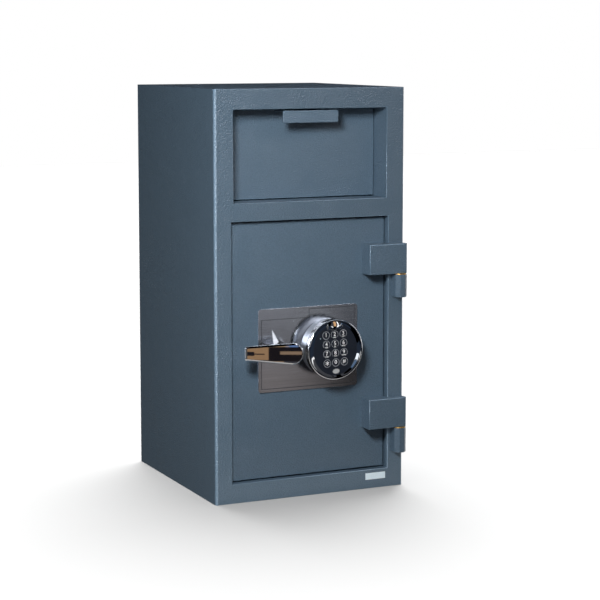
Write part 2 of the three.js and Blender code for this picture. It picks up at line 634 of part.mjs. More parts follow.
// Tray: two side sectors and a sloping floor, drawn round the hopper pivot
function hopperTray() {
  const along = [Math.cos(TRAY_FLOOR_SLOPE), -Math.sin(TRAY_FLOOR_SLOPE)];
  const up = [Math.sin(TRAY_FLOOR_SLOPE), Math.cos(TRAY_FLOOR_SLOPE)];
  const place = (distance, rise) => [
    HOPPER_PIVOT_Y + distance * along[0] + rise * up[0],
    HOPPER_PIVOT_Z + distance * along[1] + rise * up[1],
  ];
  const floorStart = (PANEL_BACK - HOPPER_PIVOT_Y + TRAY_FLOOR_DROP * up[0]) / along[0];
  const edge = Math.sqrt(TRAY_RADIUS ** 2 - TRAY_FLOOR_DROP ** 2);
  const arcStart = -TRAY_FLOOR_SLOPE - Math.asin(TRAY_FLOOR_DROP / TRAY_RADIUS);
  const arcEnd = Math.PI / 2 + Math.asin(HOPPER_PIVOT_SETBACK / TRAY_RADIUS);
  const sector = [place(floorStart, -TRAY_FLOOR_DROP), place(edge, -TRAY_FLOOR_DROP)];
  for (let i = 1; i < TRAY_ARC_STEPS; i += 1) {
    const angle = arcStart + ((arcEnd - arcStart) * i) / TRAY_ARC_STEPS;
    const y = HOPPER_PIVOT_Y + TRAY_RADIUS * Math.cos(angle);
    sector.push([y, HOPPER_PIVOT_Z + TRAY_RADIUS * Math.sin(angle)]);
  }
  sector.push([PANEL_BACK, HOPPER_PIVOT_Z + TRAY_RADIUS * Math.sin(arcEnd)]);
  const floorEnd = TRAY_RADIUS - TRAY_BACK_SHORTFALL;
  const floorTop = TRAY_PLATE - TRAY_FLOOR_DROP;
  const floorTopStart = (PANEL_BACK - HOPPER_PIVOT_Y - floorTop * up[0]) / along[0];
  const floor = outline([
    place(floorStart, -TRAY_FLOOR_DROP),
    place(floorEnd, -TRAY_FLOOR_DROP),
    place(floorEnd, floorTop),
    place(floorTopStart, floorTop),
  ]);
  const pivot = [HOPPER_PIVOT_Y, HOPPER_PIVOT_Z];
  const pinHole = bore('x', HOPPER_PIN_RADIUS + SEAT_GAP, -TRAY_HALF, TRAY_HALF, pivot, SMALL_ROUND_SIDES);
  const sides = outline(sector);
  return prism('x', floor, -TRAY_HALF, TRAY_HALF)
    .add(prism('x', sides, -TRAY_HALF, TRAY_PLATE - TRAY_HALF).subtract(pinHole))
    .add(prism('x', sides, TRAY_HALF - TRAY_PLATE, TRAY_HALF).subtract(pinHole));
}

// Headed pin through the collar's wall into the tray's side, on the right for side 1 and the left for -1
function hopperPin(side) {
  const pivot = [HOPPER_PIVOT_Y, HOPPER_PIVOT_Z];
  const underHead = side * (RECESS_HALF + COLLAR_PLATE);
  const headEnd = underHead + side * HOPPER_PIN_HEAD;
  const inner = side * (TRAY_HALF - TRAY_PLATE + SEAT_GAP);
  const shank = [inner, headEnd].sort((a, b) => a - b);
  const head = [underHead, headEnd].sort((a, b) => a - b);
  return rod('x', HOPPER_PIN_RADIUS, ...shank, pivot, SMALL_ROUND_SIDES)
    .add(rod('x', HOPPER_PIN_HEAD_RADIUS, ...head, pivot, SMALL_ROUND_SIDES));
}

function addHopper(body, hopper) {
  const panelZ = [RECESS_BOTTOM + HOPPER_SIDE_GAP, RECESS_TOP - HOPPER_EDGE_GAP];
  const panel = block([-PANEL_HALF, PANEL_HALF], [PANEL_FRONT, PANEL_BACK], panelZ);
  addPiece(hopper, 'hopper_panel', panel, POWDER_COAT);
  addPiece(hopper, 'hopper_lip', hopperLip(), POWDER_COAT);
  addPiece(hopper, 'hopper_tray', hopperTray(), POWDER_COAT);
  addPiece(body, 'hopper_pin_right', hopperPin(1), BRIGHT_STEEL);
  addPiece(body, 'hopper_pin_left', hopperPin(-1), BRIGHT_STEEL);
}

// Door plate with its lock holes and the four threaded posts for the cover
function coverPostPlaces() {
  const x = COVER_HALF - COVER_POST_INSET_X;
  const low = COVER_BOTTOM + COVER_POST_INSET_Z;
  const high = COVER_TOP - COVER_POST_INSET_Z;
  return [[-x, low], [x, low], [-x, high], [x, high]];
}

// The spindle's and the cable's holes through a plate between two planes
function lockHoles(from, to) {
  return bore('y', SPINDLE_RADIUS + RUN_GAP, from, to, [HANDLE_X, HANDLE_Z])
    .add(bore('y', CABLE_HOLE_RADIUS, from, to, [CABLE_X, CABLE_Z], SMALL_ROUND_SIDES));
}

function doorPlate() {
  const heights = [DOORWAY_BOTTOM + DOOR_GAP, DOORWAY_TOP - DOOR_GAP];
  const postFoot = DOOR_FRONT + DOOR_PLATE / 2;
  const postTop = COVER_BACK - COVER_SHEET;
  const holeFoot = postTop - SCREW_LENGTH;
  const holeRadius = SCREW_RADIUS + SEAT_GAP;
  let plate = block([-DOOR_HALF, DOOR_HALF], [DOOR_FRONT, DOOR_BACK], heights)
    .subtract(lockHoles(DOOR_FRONT, DOOR_BACK));
  for (const place of coverPostPlaces()) {
    plate = plate
      .add(rod('y', COVER_POST_RADIUS, postFoot, postTop, place, SMALL_ROUND_SIDES))
      .subtract(rod('y', holeRadius, holeFoot, postTop + CUT_OVERRUN, place, SMALL_ROUND_SIDES));
  }
  return plate;
}

function escutcheon() {
  const left = HANDLE_X - ESCUTCHEON_HANDLE_MARGIN;
  const right = KEYPAD_CENTRE_X + ESCUTCHEON_KEYPAD_MARGIN;
  const bottom = DOOR_MIDDLE_Z - ESCUTCHEON_HEIGHT / 2;
  const top = DOOR_MIDDLE_Z + ESCUTCHEON_HEIGHT / 2;
  const plate = roundedRectangle(left, right, bottom, top, ESCUTCHEON_CORNER);
  return prism('y', plate, ESCUTCHEON_FRONT, DOOR_FRONT).subtract(lockHoles(ESCUTCHEON_FRONT, DOOR_FRONT));
}

// Keypad, drawn round its own centre: y = 0 is the escutcheon's front and -y faces the user
function keypadBase() {
  const rimInner = KEYPAD_BASE_RADIUS - KEYPAD_WALL;
  const boardSeat = KEYPAD_BOARD_SETBACK + KEYPAD_BOARD - KEYPAD_BASE_HEIGHT;
  return turned([
    [0, 0],
    [0, -KEYPAD_BASE_FLOOR],
    [rimInner - KEYPAD_LEDGE, -KEYPAD_BASE_FLOOR],
    [rimInner - KEYPAD_LEDGE, boardSeat],
    [rimInner, boardSeat],
    [rimInner, -KEYPAD_BASE_HEIGHT],
    [KEYPAD_BASE_RADIUS, -KEYPAD_BASE_HEIGHT],
    [KEYPAD_BASE_RADIUS, 0],
    [0, 0],
  ], LARGE_ROUND_SIDES);
}

function keypadBezel() {
  const rim = -KEYPAD_BASE_HEIGHT;
  const faceFront = rim - FACE_PLATE;
  const ringFront = rim - BEZEL_RISE;
  const skirtInner = KEYPAD_BASE_RADIUS + SEAT_GAP;
  const faceInner = BEZEL_LIP_RADIUS + FACE_SEAT;
  return turned([
    [skirtInner, rim + BEZEL_SKIRT],
    [skirtInner, rim],
    [faceInner, rim],
    [faceInner, faceFront - SEAT_GAP],
    [BEZEL_LIP_RADIUS, faceFront - SEAT_GAP],
    [BEZEL_LIP_RADIUS, faceFront - SEAT_GAP - BEZEL_LIP],
    [BEZEL_CROWN_RADIUS, ringFront],
    [BEZEL_RADIUS - BEZEL_EDGE, ringFront],
    [BEZEL_RADIUS, ringFront + BEZEL_EDGE],
    [BEZEL_RADIUS, rim + BEZEL_SKIRT],
    [skirtInner, rim + BEZEL_SKIRT],
  ], LARGE_ROUND_SIDES);
}

function keyPlaces() {
  const places = [];
  KEY_ROWS.forEach((names, row) => {
    names.forEach((name, column) => {
      places.push({ name, x: (column - 1) * KEY_PITCH, z: KEY_TOP_ROW - row * KEY_PITCH });
    });
  });
  return places;
}

function keypadFace() {
  const back = -KEYPAD_BASE_HEIGHT;
  const front = back - FACE_PLATE;
  const radius = BEZEL_LIP_RADIUS + FACE_SEAT - SEAT_GAP;
  let face = rod('y', radius, front, back, [0, 0], LARGE_ROUND_SIDES);
  for (const { x, z } of keyPlaces()) {
    face = face.subtract(bore('y', KEY_HOLE_RADIUS, front, back, [x, z], KEY_SIDES));
  }
  return face;
}

function keypadPod() {
  const faceFront = -KEYPAD_BASE_HEIGHT - FACE_PLATE;
  const radius = BEZEL_LIP_RADIUS - SEAT_GAP;
  const shoulder = Math.acos(POD_WIDTH / 2 / radius);
  const points = [[-POD_BOTTOM_WIDTH / 2, POD_BOTTOM], [POD_BOTTOM_WIDTH / 2, POD_BOTTOM]];
  for (let i = 0; i <= POD_ARC_STEPS; i += 1) {
    const angle = shoulder + ((Math.PI - 2 * shoulder) * i) / POD_ARC_STEPS;
    points.push([radius * Math.cos(angle), radius * Math.sin(angle)]);
  }
  return prism('y', outline(points), faceFront - POD_HEIGHT, faceFront);
}

function keyCap() {
  const faceBack = -KEYPAD_BASE_HEIGHT;
  const front = faceBack - FACE_PLATE - KEY_PROUD;
  const flangeFront = faceBack + SEAT_GAP;
  const flangeBack = flangeFront + KEY_FLANGE;
  return rod('y', KEY_HOLE_RADIUS - SEAT_GAP, front, flangeBack, [0, 0], KEY_SIDES)
    .add(rod('y', KEY_FLANGE_RADIUS, flangeFront, flangeBack, [0, 0], KEY_SIDES));
}

function addKeypad(door) {
  const keypad = new THREE.Group();
  keypad.position.set(KEYPAD_CENTRE_X, ESCUTCHEON_FRONT, DOOR_MIDDLE_Z);
  keypad.rotation.y = -KEYPAD_TURN;
  const boardBack = KEYPAD_BOARD_SETBACK + KEYPAD_BOARD - KEYPAD_BASE_HEIGHT;
  const boardRadius = KEYPAD_BASE_RADIUS - KEYPAD_WALL - SEAT_GAP;
  const board = rod('y', boardRadius, boardBack - KEYPAD_BOARD, boardBack, [0, 0], LARGE_ROUND_SIDES);
  addPiece(keypad, 'keypad_base', keypadBase(), SATIN_METAL);
  addPiece(keypad, 'keypad_board', board, BOARD_GREEN);
  addPiece(keypad, 'keypad_bezel', keypadBezel(), CHROME);
  addPiece(keypad, 'keypad_face', keypadFace(), KEYPAD_PLASTIC);
  addPiece(keypad, 'keypad_pod', keypadPod(), CHROME);
  for (const { name, x, z } of keyPlaces()) {
    addPiece(keypad, name, keyCap(), KEY_PLASTIC).position.set(x, 0, z);
  }
  door.add(keypad);
}

// Lever: a tapered bar with a level top edge, drawn round the spindle axis
function leverBar() {
  const end = [-LEVER_LENGTH, -LEVER_END_DROP];
  const reach = Math.hypot(...end);
  const tangent = Math.atan2(end[1], end[0]) + Math.acos(LEVER_HUB_RADIUS / reach);
  const top = LEVER_HUB_RADIUS;
  const radius = LEVER_END_RADIUS;
  const shape = new THREE.Shape();
  shape.moveTo(0, top);
  shape.absarc(0, 0, LEVER_HUB_RADIUS, Math.PI / 2, tangent, true);
  shape.lineTo(end[0] + radius, end[1]);
  shape.absarc(end[0] + radius, end[1] + radius, radius, 1.5 * Math.PI, Math.PI, true);
  shape.absarc(end[0] + radius, top - radius, radius, Math.PI, Math.PI / 2, true);
  const geometry = new THREE.ExtrudeGeometry(shape, {
    depth: LEVER_THICKNESS - 2 * LEVER_CHAMFER,
    bevelEnabled: true,
    bevelThickness: LEVER_CHAMFER,
    bevelSize: LEVER_CHAMFER,
    bevelOffset: -LEVER_CHAMFER,
    bevelSegments: 1,
    curveSegments: LEVER_HUB_STEPS,
  });
  geometry.rotateX(Math.PI / 2);
  geometry.translate(0, -LEVER_CHAMFER - LEVER_STANDOFF, 0);
  return toSolid(geometry);
}

function addHandle(door) {
  const handle = new THREE.Group();
  handle.position.set(HANDLE_X, ESCUTCHEON_FRONT, HANDLE_Z);
  const neck = rod('y', LEVER_NECK_RADIUS, -LEVER_STANDOFF, -SEAT_GAP);
  addPiece(handle, 'handle_lever', leverBar().add(neck), CHROME);
  const camFront = CAM_FRONT - ESCUTCHEON_FRONT;
  const camBack = camFront + CAM_PLATE;
  const pinEnd = CARRIAGE_BACK + LOOSE_GAP - ESCUTCHEON_FRONT;
  const collarFront = DOOR_BACK - ESCUTCHEON_FRONT + SEAT_GAP;
  const pinPlace = [CAM_ARM_RADIUS * Math.cos(CAM_REST_ANGLE), CAM_ARM_RADIUS * Math.sin(CAM_REST_ANGLE)];
  const acrossShare = CAM_END_RADIUS / CAM_ARM_RADIUS;
  const across = [-pinPlace[1] * acrossShare, pinPlace[0] * acrossShare];
  const web = outline([
    [across[0], across[1]],
    [-across[0], -across[1]],
    [pinPlace[0] - across[0], pinPlace[1] - across[1]],
    [pinPlace[0] + across[0], pinPlace[1] + across[1]],
  ]);
  const spindle = rod('y', SPINDLE_RADIUS, -SEAT_GAP, camBack)
    .add(rod('y', SPINDLE_COLLAR_RADIUS, collarFront, camBack))
    .add(rod('y', CAM_HUB_RADIUS, camFront, camBack))
    .add(rod('y', CAM_END_RADIUS, camFront, camBack, pinPlace))
    .add(prism('y', web, camFront, camBack))
    .add(rod('y', CAM_PIN_RADIUS, camFront, pinEnd, pinPlace));
  addPiece(handle, 'spindle_cam', spindle, BRIGHT_STEEL);
  door.add(handle);
}

// Boltwork: three bolts on a carriage that the cam pin draws sideways
function boltGuide() {
  const heights = [BOLT_LOW_Z - GUIDE_END_MARGIN, BOLT_HIGH_Z + GUIDE_END_MARGIN];
  const left = GUIDE_INSET - COVER_HALF;
  const guideX = [left, left + GUIDE_PLATE];
  let guide = block(guideX, [DOOR_BACK, BOLT_BACK + GUIDE_BACK_MARGIN], heights);
  for (const { z } of BOLTS) {
    guide = guide.subtract(bore('x', BOLT_RADIUS + RUN_GAP, ...guideX, [BOLT_Y, z]));
  }
  return guide;
}

function boltCarriage() {
  const plateY = [CARRIAGE_FRONT, CARRIAGE_BACK];
  const barZ = [BOLT_LOW_Z - BOLT_END_MARGIN, BOLT_HIGH_Z + BOLT_END_MARGIN];
  const bar = block([BOLT_TAIL_X, BOLT_TAIL_X + CARRIAGE_BAR], [CARRIAGE_FRONT, BOLT_BACK], barZ);
  const tabLeft = lockBoltX()[1] + LOCK_BOLT_TAB_GAP;
  const tabRight = tabLeft + CARRIAGE_TAB_WIDTH;
  const armX = [BOLT_TAIL_X, tabRight + CARRIAGE_TAB_END];
  const arm = block(armX, plateY, [CARRIAGE_ARM_BOTTOM, CARRIAGE_ARM_TOP]);
  const tab = block([tabLeft, tabRight], plateY, [CARRIAGE_ARM_BOTTOM, CARRIAGE_TAB_TOP]);
  const pinX = HANDLE_X + CAM_ARM_RADIUS * Math.cos(CAM_REST_ANGLE);
  const slotHalf = CAM_PIN_RADIUS + CARRIAGE_SLOT_GAP / 2;
  const slot = block(
    [pinX - slotHalf, pinX + slotHalf],
    [CARRIAGE_FRONT - CUT_OVERRUN, CARRIAGE_BACK + CUT_OVERRUN],
    [CARRIAGE_SLOT_BOTTOM, CARRIAGE_ARM_TOP + CUT_OVERRUN],
  );
  return bar.add(arm).add(tab).subtract(slot);
}

// Dead bar: an angle on the hinge side that hooks behind the jamb's stop
function deadBar() {
  const heights = [COVER_BOTTOM, COVER_TOP];
  const back = DOOR_BACK + DEAD_BAR_DEPTH;
  const foot = block([DEAD_BAR_LEFT, DEAD_BAR_RIGHT], [DOOR_BACK, back], heights);
  const noseX = [DEAD_BAR_LEFT, DOORWAY_HALF - DEAD_BAR_JAMB_GAP];
  return foot.add(block(noseX, [back - DEAD_BAR_NOSE, back], heights));
}

function addBoltwork(door) {
  addPiece(door, 'bolt_guide', boltGuide(), BRIGHT_STEEL);
  addPiece(door, 'bolt_carriage', boltCarriage(), BRIGHT_STEEL);
  for (const { name, z } of BOLTS) {
    addPiece(door, name, rod('x', BOLT_RADIUS, BOLT_TIP_X, BOLT_TAIL_X, [BOLT_Y, z]), BRIGHT_STEEL);
  }
  addPiece(door, 'dead_bar', deadBar(), BRIGHT_STEEL);
}

// Lock case behind the keypad with its bolt, which drops beside the carriage tab
function lockBoltX() {
  return [KEYPAD_CENTRE_X - LOCK_BOLT_WIDTH / 2, KEYPAD_CENTRE_X + LOCK_BOLT_WIDTH / 2];
}

function lockBoltY() {
  const middle = (CARRIAGE_FRONT + CARRIAGE_BACK) / 2;
  return [middle - LOCK_BOLT_THICKNESS / 2, middle + LOCK_BOLT_THICKNESS / 2];
}

function lockCable() {
  const start = ESCUTCHEON_FRONT + SEAT_GAP;
  const bendY = DOOR_BACK + CABLE_BEND / 2;
  const caseSide = KEYPAD_CENTRE_X + LOCK_WIDTH / 2 + SEAT_GAP;
  const path = new THREE.CurvePath();
  const corner = new THREE.Vector3(CABLE_X, bendY + CABLE_BEND, CABLE_Z);
  const bendStart = new THREE.Vector3(CABLE_X, bendY, CABLE_Z);
  const end = new THREE.Vector3(caseSide, bendY + CABLE_BEND, CABLE_Z);
  path.add(new THREE.LineCurve3(new THREE.Vector3(CABLE_X, start, CABLE_Z), bendStart));
  path.add(new THREE.QuadraticBezierCurve3(bendStart, corner, end));
  const section = circle(CABLE_RADIUS, CABLE_SIDES);
  return toSolid(new THREE.ExtrudeGeometry(section, { steps: CABLE_STEPS, extrudePath: path }));
}

function addLock(door) {
  const halfWidth = LOCK_WIDTH / 2;
  const boltX = lockBoltX();
  const boltY = lockBoltY();
  const lockCase = block(
    [KEYPAD_CENTRE_X - halfWidth, KEYPAD_CENTRE_X + halfWidth],
    [DOOR_BACK, DOOR_BACK + LOCK_DEPTH],
    [LOCK_BOTTOM, LOCK_BOTTOM + LOCK_HEIGHT],
  );
  const pocket = block(
    [boltX[0] - SEAT_GAP, boltX[1] + SEAT_GAP],
    [boltY[0] - SEAT_GAP, boltY[1] + SEAT_GAP],
    [LOCK_BOTTOM - CUT_OVERRUN, LOCK_BOTTOM + LOCK_BOLT_LENGTH + LOCK_POCKET_SPARE],
  );
  addPiece(door, 'lock_case', lockCase.subtract(pocket), ZINC_CASE);
  const boltZ = [LOCK_BOTTOM, LOCK_BOTTOM + LOCK_BOLT_LENGTH];
  addPiece(door, 'lock_bolt', block(boltX, boltY, boltZ), BRASS);
  addPiece(door, 'lock_cable', lockCable(), CABLE_RUBBER);
}

// Pressed pan over the boltwork, with holes for the bolts and four screws
function boltworkCover() {
  const innerHalf = COVER_HALF - COVER_SHEET;
  const innerBack = COVER_BACK - COVER_SHEET;
  const innerY = [DOOR_BACK - CUT_OVERRUN, innerBack];
  const innerZ = [COVER_BOTTOM + COVER_SHEET, COVER_TOP - COVER_SHEET];
  let pan = block([-COVER_HALF, COVER_HALF], [DOOR_BACK, COVER_BACK], [COVER_BOTTOM, COVER_TOP])
    .subtract(block([-innerHalf, innerHalf], innerY, innerZ));
  for (const { z } of BOLTS) {
    pan = pan.subtract(bore('x', BOLT_RADIUS + LOOSE_GAP, -COVER_HALF, -innerHalf, [BOLT_Y, z]));
  }
  const screwHole = SCREW_RADIUS + SEAT_GAP;
  for (const place of coverPostPlaces()) {
    pan = pan.subtract(bore('y', screwHole, innerBack, COVER_BACK, place, SMALL_ROUND_SIDES));
  }
  return pan;
}

function addCover(door) {
  const shankEnd = COVER_BACK - COVER_SHEET - SCREW_LENGTH + SEAT_GAP;
  const headEnd = COVER_BACK + SCREW_HEAD;
  addPiece(door, 'boltwork_cover', boltworkCover(), POWDER_COAT);
  coverPostPlaces().forEach((place, i) => {
    const screw = rod('y', SCREW_RADIUS, shankEnd, headEnd, place, SMALL_ROUND_SIDES)
      .add(rod('y', SCREW_HEAD_RADIUS, COVER_BACK, headEnd, place, SMALL_ROUND_SIDES));
    addPiece(door, `cover_screw_${i + 1}`, screw, BRIGHT_STEEL);
  });
}

function addDoor(door) {
  addPiece(door, 'door_plate', doorPlate(), POWDER_COAT);
  addPiece(door, 'escutcheon', escutcheon(), BRUSHED_STEEL);
  addKeypad(door);
  addHandle(door);
  addBoltwork(door);
  addLock(door);
  addCover(door);
}

const safe = new THREE.Group();
const body = new THREE.Group();
const door = new THREE.Group();
const hopper = new THREE.Group();
safe.add(body, door, hopper);
addBody(body);
addHinges(body, door);
addDoor(door);
addHopper(body, hopper);

export default safe;
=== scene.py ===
"""Looks of a drop safe: painted body, tilting deposit hopper, door with keypad, lever and boltwork.

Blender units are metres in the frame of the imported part. Sizes written in the tables are millimetres.
"""
import json
import math

import bmesh
import bpy
from mathutils import Matrix, Vector

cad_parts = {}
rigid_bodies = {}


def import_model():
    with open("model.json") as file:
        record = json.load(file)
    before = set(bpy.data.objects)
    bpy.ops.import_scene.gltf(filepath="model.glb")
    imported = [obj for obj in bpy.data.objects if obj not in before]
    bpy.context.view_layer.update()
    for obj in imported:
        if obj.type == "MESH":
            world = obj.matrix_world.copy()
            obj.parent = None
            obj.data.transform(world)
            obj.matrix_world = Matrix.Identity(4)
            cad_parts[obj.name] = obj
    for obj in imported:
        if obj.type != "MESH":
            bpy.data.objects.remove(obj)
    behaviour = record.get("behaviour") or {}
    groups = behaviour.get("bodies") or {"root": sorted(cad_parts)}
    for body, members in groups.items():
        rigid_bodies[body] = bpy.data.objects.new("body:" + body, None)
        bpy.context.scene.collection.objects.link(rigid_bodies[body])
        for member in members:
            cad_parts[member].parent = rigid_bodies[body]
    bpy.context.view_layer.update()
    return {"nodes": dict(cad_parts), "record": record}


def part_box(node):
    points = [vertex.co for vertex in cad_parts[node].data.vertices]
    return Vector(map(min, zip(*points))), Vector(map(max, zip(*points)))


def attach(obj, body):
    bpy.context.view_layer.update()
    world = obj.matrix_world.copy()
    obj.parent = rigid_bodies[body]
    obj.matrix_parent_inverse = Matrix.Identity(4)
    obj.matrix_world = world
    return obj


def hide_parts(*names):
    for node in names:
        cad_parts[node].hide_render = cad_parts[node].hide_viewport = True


MM = 0.001

# Camera of the product shot
CAMERA_PLACE = (-1.2975, -2.9206, 0.7636)
CAMERA_YAW = 24.972
CAMERA_PITCH = 6.548
CAMERA_LENS = 109.46
CAMERA_SENSOR = 36
CAMERA_SHIFT_Y = -0.08

# Places on the part, millimetres
DOOR_MIDDLE_Z = 252
ESCUTCHEON_FRONT_Y = -171
KEYPAD_CENTRE_X = 32
KEYPAD_TURN = 2.8
KEY_PITCH = 15.9
KEY_TOP_ROW = 25.7
FACE_FRONT = -35
KEY_FRONT = -35.2

# Pieces that lamps and cards are linked to
PLATE = "escutcheon_skin"
LEVER = "handle_lever_skin"
RING = "keypad_ring"
DRUM = "keypad_drum"
POD = "keypad_pod_shell"
KNUCKLES = ["hinge_knuckle_lower_facets", "hinge_knuckle_upper_facets"]

# Edge rounding: angles in degrees, distances in metres
SHARP_ANGLE = 30
SMOOTH_ANGLE = 50
FLAT_ANGLE = 0.5
# Face attribute that marks where the paint carries a painted highlight
HIGHLIGHT_MARK = "edge"
FLAT_NORMAL = 0.97
FRONT_ROUNDED = ["front_frame", "door_plate", "hinge_block_lower", "hinge_block_upper", "hopper_panel"]
# Pieces whose rounded edges get the painted highlight
HIGHLIGHT_EDGED = FRONT_ROUNDED + ["hopper_lip"]
FINE_SEGMENTS = 3
COARSE_SEGMENTS = 2
TURNED_SIDES = 128
MERGE_DISTANCE = 1e-6
PLANE_DISTANCE = 1e-4

# Part of its range in which a noise mostly lies
NOISE_LOW = 0.3
NOISE_HIGH = 0.7

# How much paler the paint is over rounded front edges, a painted highlight where gloss would catch the light
EDGE_HIGHLIGHT_PALENESS = 1.6

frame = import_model()
BODY_OF = {node: body for body, members in frame["record"]["behaviour"]["bodies"].items() for node in members}


def srgb(red, green, blue):
    """Linear colour of an 8 bit screen colour."""

    def channel(value):
        share = value / 255
        return share / 12.92 if share <= 0.04045 else ((share + 0.055) / 1.055) ** 2.4

    return (channel(red), channel(green), channel(blue), 1)


# Materials

class Look:
    """A principled material and the few nodes that the looks share."""

    def __init__(self, name, color, roughness, metallic=0.0, **values):
        self.material = bpy.data.materials.new(name)
        self.material.use_nodes = True
        self.nodes = self.material.node_tree.nodes
        self.links = self.material.node_tree.links
        self.shader = self.nodes["Principled BSDF"]
        self.shader.inputs["Base Color"].default_value = color
        self.shader.inputs["Roughness"].default_value = roughness
        self.shader.inputs["Metallic"].default_value = metallic
        for socket, value in values.items():
            self.shader.inputs[socket.replace("_", " ")].default_value = value
        self.place = self.nodes.new("ShaderNodeTexCoord").outputs["Object"]

    def stretched(self, scale):
        """The object's coordinates, scaled along each axis."""
        node = self.nodes.new("ShaderNodeMapping")
        node.inputs["Scale"].default_value = scale
        self.links.new(self.place, node.inputs["Vector"])
        return node.outputs["Vector"]

    def noise(self, scale, detail=2.0, roughness=0.5, vector=None):
        """Noise over the object, or over other coordinates."""
        node = self.nodes.new("ShaderNodeTexNoise")
        node.inputs["Scale"].default_value = scale
        node.inputs["Detail"].default_value = detail
        node.inputs["Roughness"].default_value = roughness
        self.links.new(vector or self.place, node.inputs["Vector"])
        return node.outputs["Fac"]

    def ranged(self, source, low, high):
        """A noise brought to the range from low to high."""
        node = self.nodes.new("ShaderNodeMapRange")
        node.inputs["From Min"].default_value = NOISE_LOW
        node.inputs["From Max"].default_value = NOISE_HIGH
        node.inputs["To Min"].default_value = low
        node.inputs["To Max"].default_value = high
        self.links.new(source, node.inputs["Value"])
        return node.outputs["Result"]

    def ramp(self, source, first, last):
        """A colour that runs between two (position, colour) stops."""
        node = self.nodes.new("ShaderNodeValToRGB")
        for element, (position, color) in zip(node.color_ramp.elements, (first, last)):
            element.position = position
            element.color = color
        self.links.new(source, node.inputs["Fac"])
        return node.outputs["Color"]

    def tinted(self, source, color, dark, pale):
        """The colour, darker and paler with a noise."""
        return self.ramp(source, (NOISE_LOW, shade(color, dark)), (NOISE_HIGH, shade(color, pale)))

    def color(self, source):
        self.links.new(source, self.shader.inputs["Base Color"])

    def roughness(self, source):
        self.links.new(source, self.shader.inputs["Roughness"])

    def bump(self, source, distance):
        """Raises the surface by a noise, at most by the distance in metres."""
        node = self.nodes.new("ShaderNodeBump")
        node.inputs["Strength"].default_value = 1
        node.inputs["Distance"].default_value = distance
        self.links.new(source, node.inputs["Height"])
        self.links.new(node.outputs["Normal"], self.shader.inputs["Normal"])


def shade(color, factor):
    """The colour, darker below a factor of 1 and paler above it."""
    return tuple(channel * factor for channel in color[:3]) + (1,)


def powder_coat():
    """Fine-grained paint with a painted highlight: paler over the rounded front edges."""
    color = srgb(87, 107, 124)
    look = Look("powder_coat", color, roughness=0.36, Specular_IOR_Level=0.4)
    flat = look.tinted(look.noise(scale=600), color, dark=0.9, pale=1.1)
    # Paler colour over the marked edges: a painted highlight
    edge = look.nodes.new("ShaderNodeAttribute")
    edge.attribute_name = HIGHLIGHT_MARK
    highlighted = look.nodes.new("ShaderNodeMixRGB")
    highlighted.inputs["Color2"].default_value = shade(color, EDGE_HIGHLIGHT_PALENESS)
    look.links.new(edge.outputs["Fac"], highlighted.inputs["Fac"])
    look.links.new(flat, highlighted.inputs["Color1"])
    look.color(highlighted.outputs["Color"])
    look.roughness(look.ranged(look.noise(scale=30, detail=3), low=0.3, high=0.42))
    look.bump(look.noise(scale=520, detail=1, roughness=0.3), distance=0.001)
    return look.material


def brushed_stainless():
    """Brushed along X, so highlights spread up and down."""
    color = srgb(176, 178, 184)
    look = Look("brushed_stainless", color, roughness=0.13, metallic=1, Anisotropic=0.85)
    tangent = look.nodes.new("ShaderNodeTangent")
    tangent.direction_type = "RADIAL"
    tangent.axis = "X"
    look.links.new(tangent.outputs["Tangent"], look.shader.inputs["Tangent"])
    lines = look.noise(scale=1, detail=3, vector=look.stretched((9, 500, 2600)))
    look.color(look.tinted(lines, color, dark=0.84, pale=1.12))
    look.roughness(look.ranged(lines, low=0.1, high=0.16))
    look.bump(lines, distance=0.00003)
    return look.material


def polished(name, color, roughness, bump=0.0):
    """Plain metal with faint smudges, and a grain where bump gives its depth."""
    look = Look(name, color, roughness, metallic=1)
    smudge = look.noise(scale=60, detail=3)
    look.roughness(look.ranged(smudge, low=roughness * 0.8, high=roughness * 1.3))
    look.color(look.tinted(smudge, color, dark=0.95, pale=1.02))
    if bump:
        look.bump(look.noise(scale=900), bump)
    return look.material


def turned_metal(name, color, roughness):
    """Metal with fine marks round Y."""
    look = Look(name, color, roughness, metallic=1)
    lines = look.noise(scale=1, vector=look.stretched((90, 2600, 90)))
    look.color(look.tinted(lines, color, dark=0.9, pale=1.06))
    look.roughness(look.ranged(lines, low=roughness * 0.8, high=roughness * 1.25))
    look.bump(lines, distance=0.000008)
    return look.material


def plastic(name, color, roughness):
    """Moulded plastic, rubber or print with a fine grain."""
    look = Look(name, color, roughness, Specular_IOR_Level=0.4)
    look.color(look.tinted(look.noise(scale=50, detail=3), color, dark=0.94, pale=1.06))
    look.roughness(look.ranged(look.noise(scale=200), low=roughness * 0.9, high=roughness * 1.12))
    look.bump(look.noise(scale=900), distance=0.00003)
    return look.material


def circuit_board():
    """Green board with paler patches, sharply parted."""
    color = srgb(31, 74, 51)
    look = Look("circuit_board", color, roughness=0.45)
    tracks = look.noise(scale=240, detail=1, vector=look.stretched((1, 1, 3)))
    look.color(look.ramp(tracks, (0.48, color), (0.52, srgb(44, 98, 66))))
    look.bump(tracks, distance=0.00004)
    return look.material


def paper():
    """Matt paper with fine fibres."""
    color = srgb(226, 244, 255)
    look = Look("label_paper", color, roughness=0.75)
    fibre = look.noise(scale=700, detail=4, roughness=0.6)
    look.color(look.tinted(fibre, color, dark=0.95, pale=1.03))
    look.bump(fibre, distance=0.00004)
    return look.material


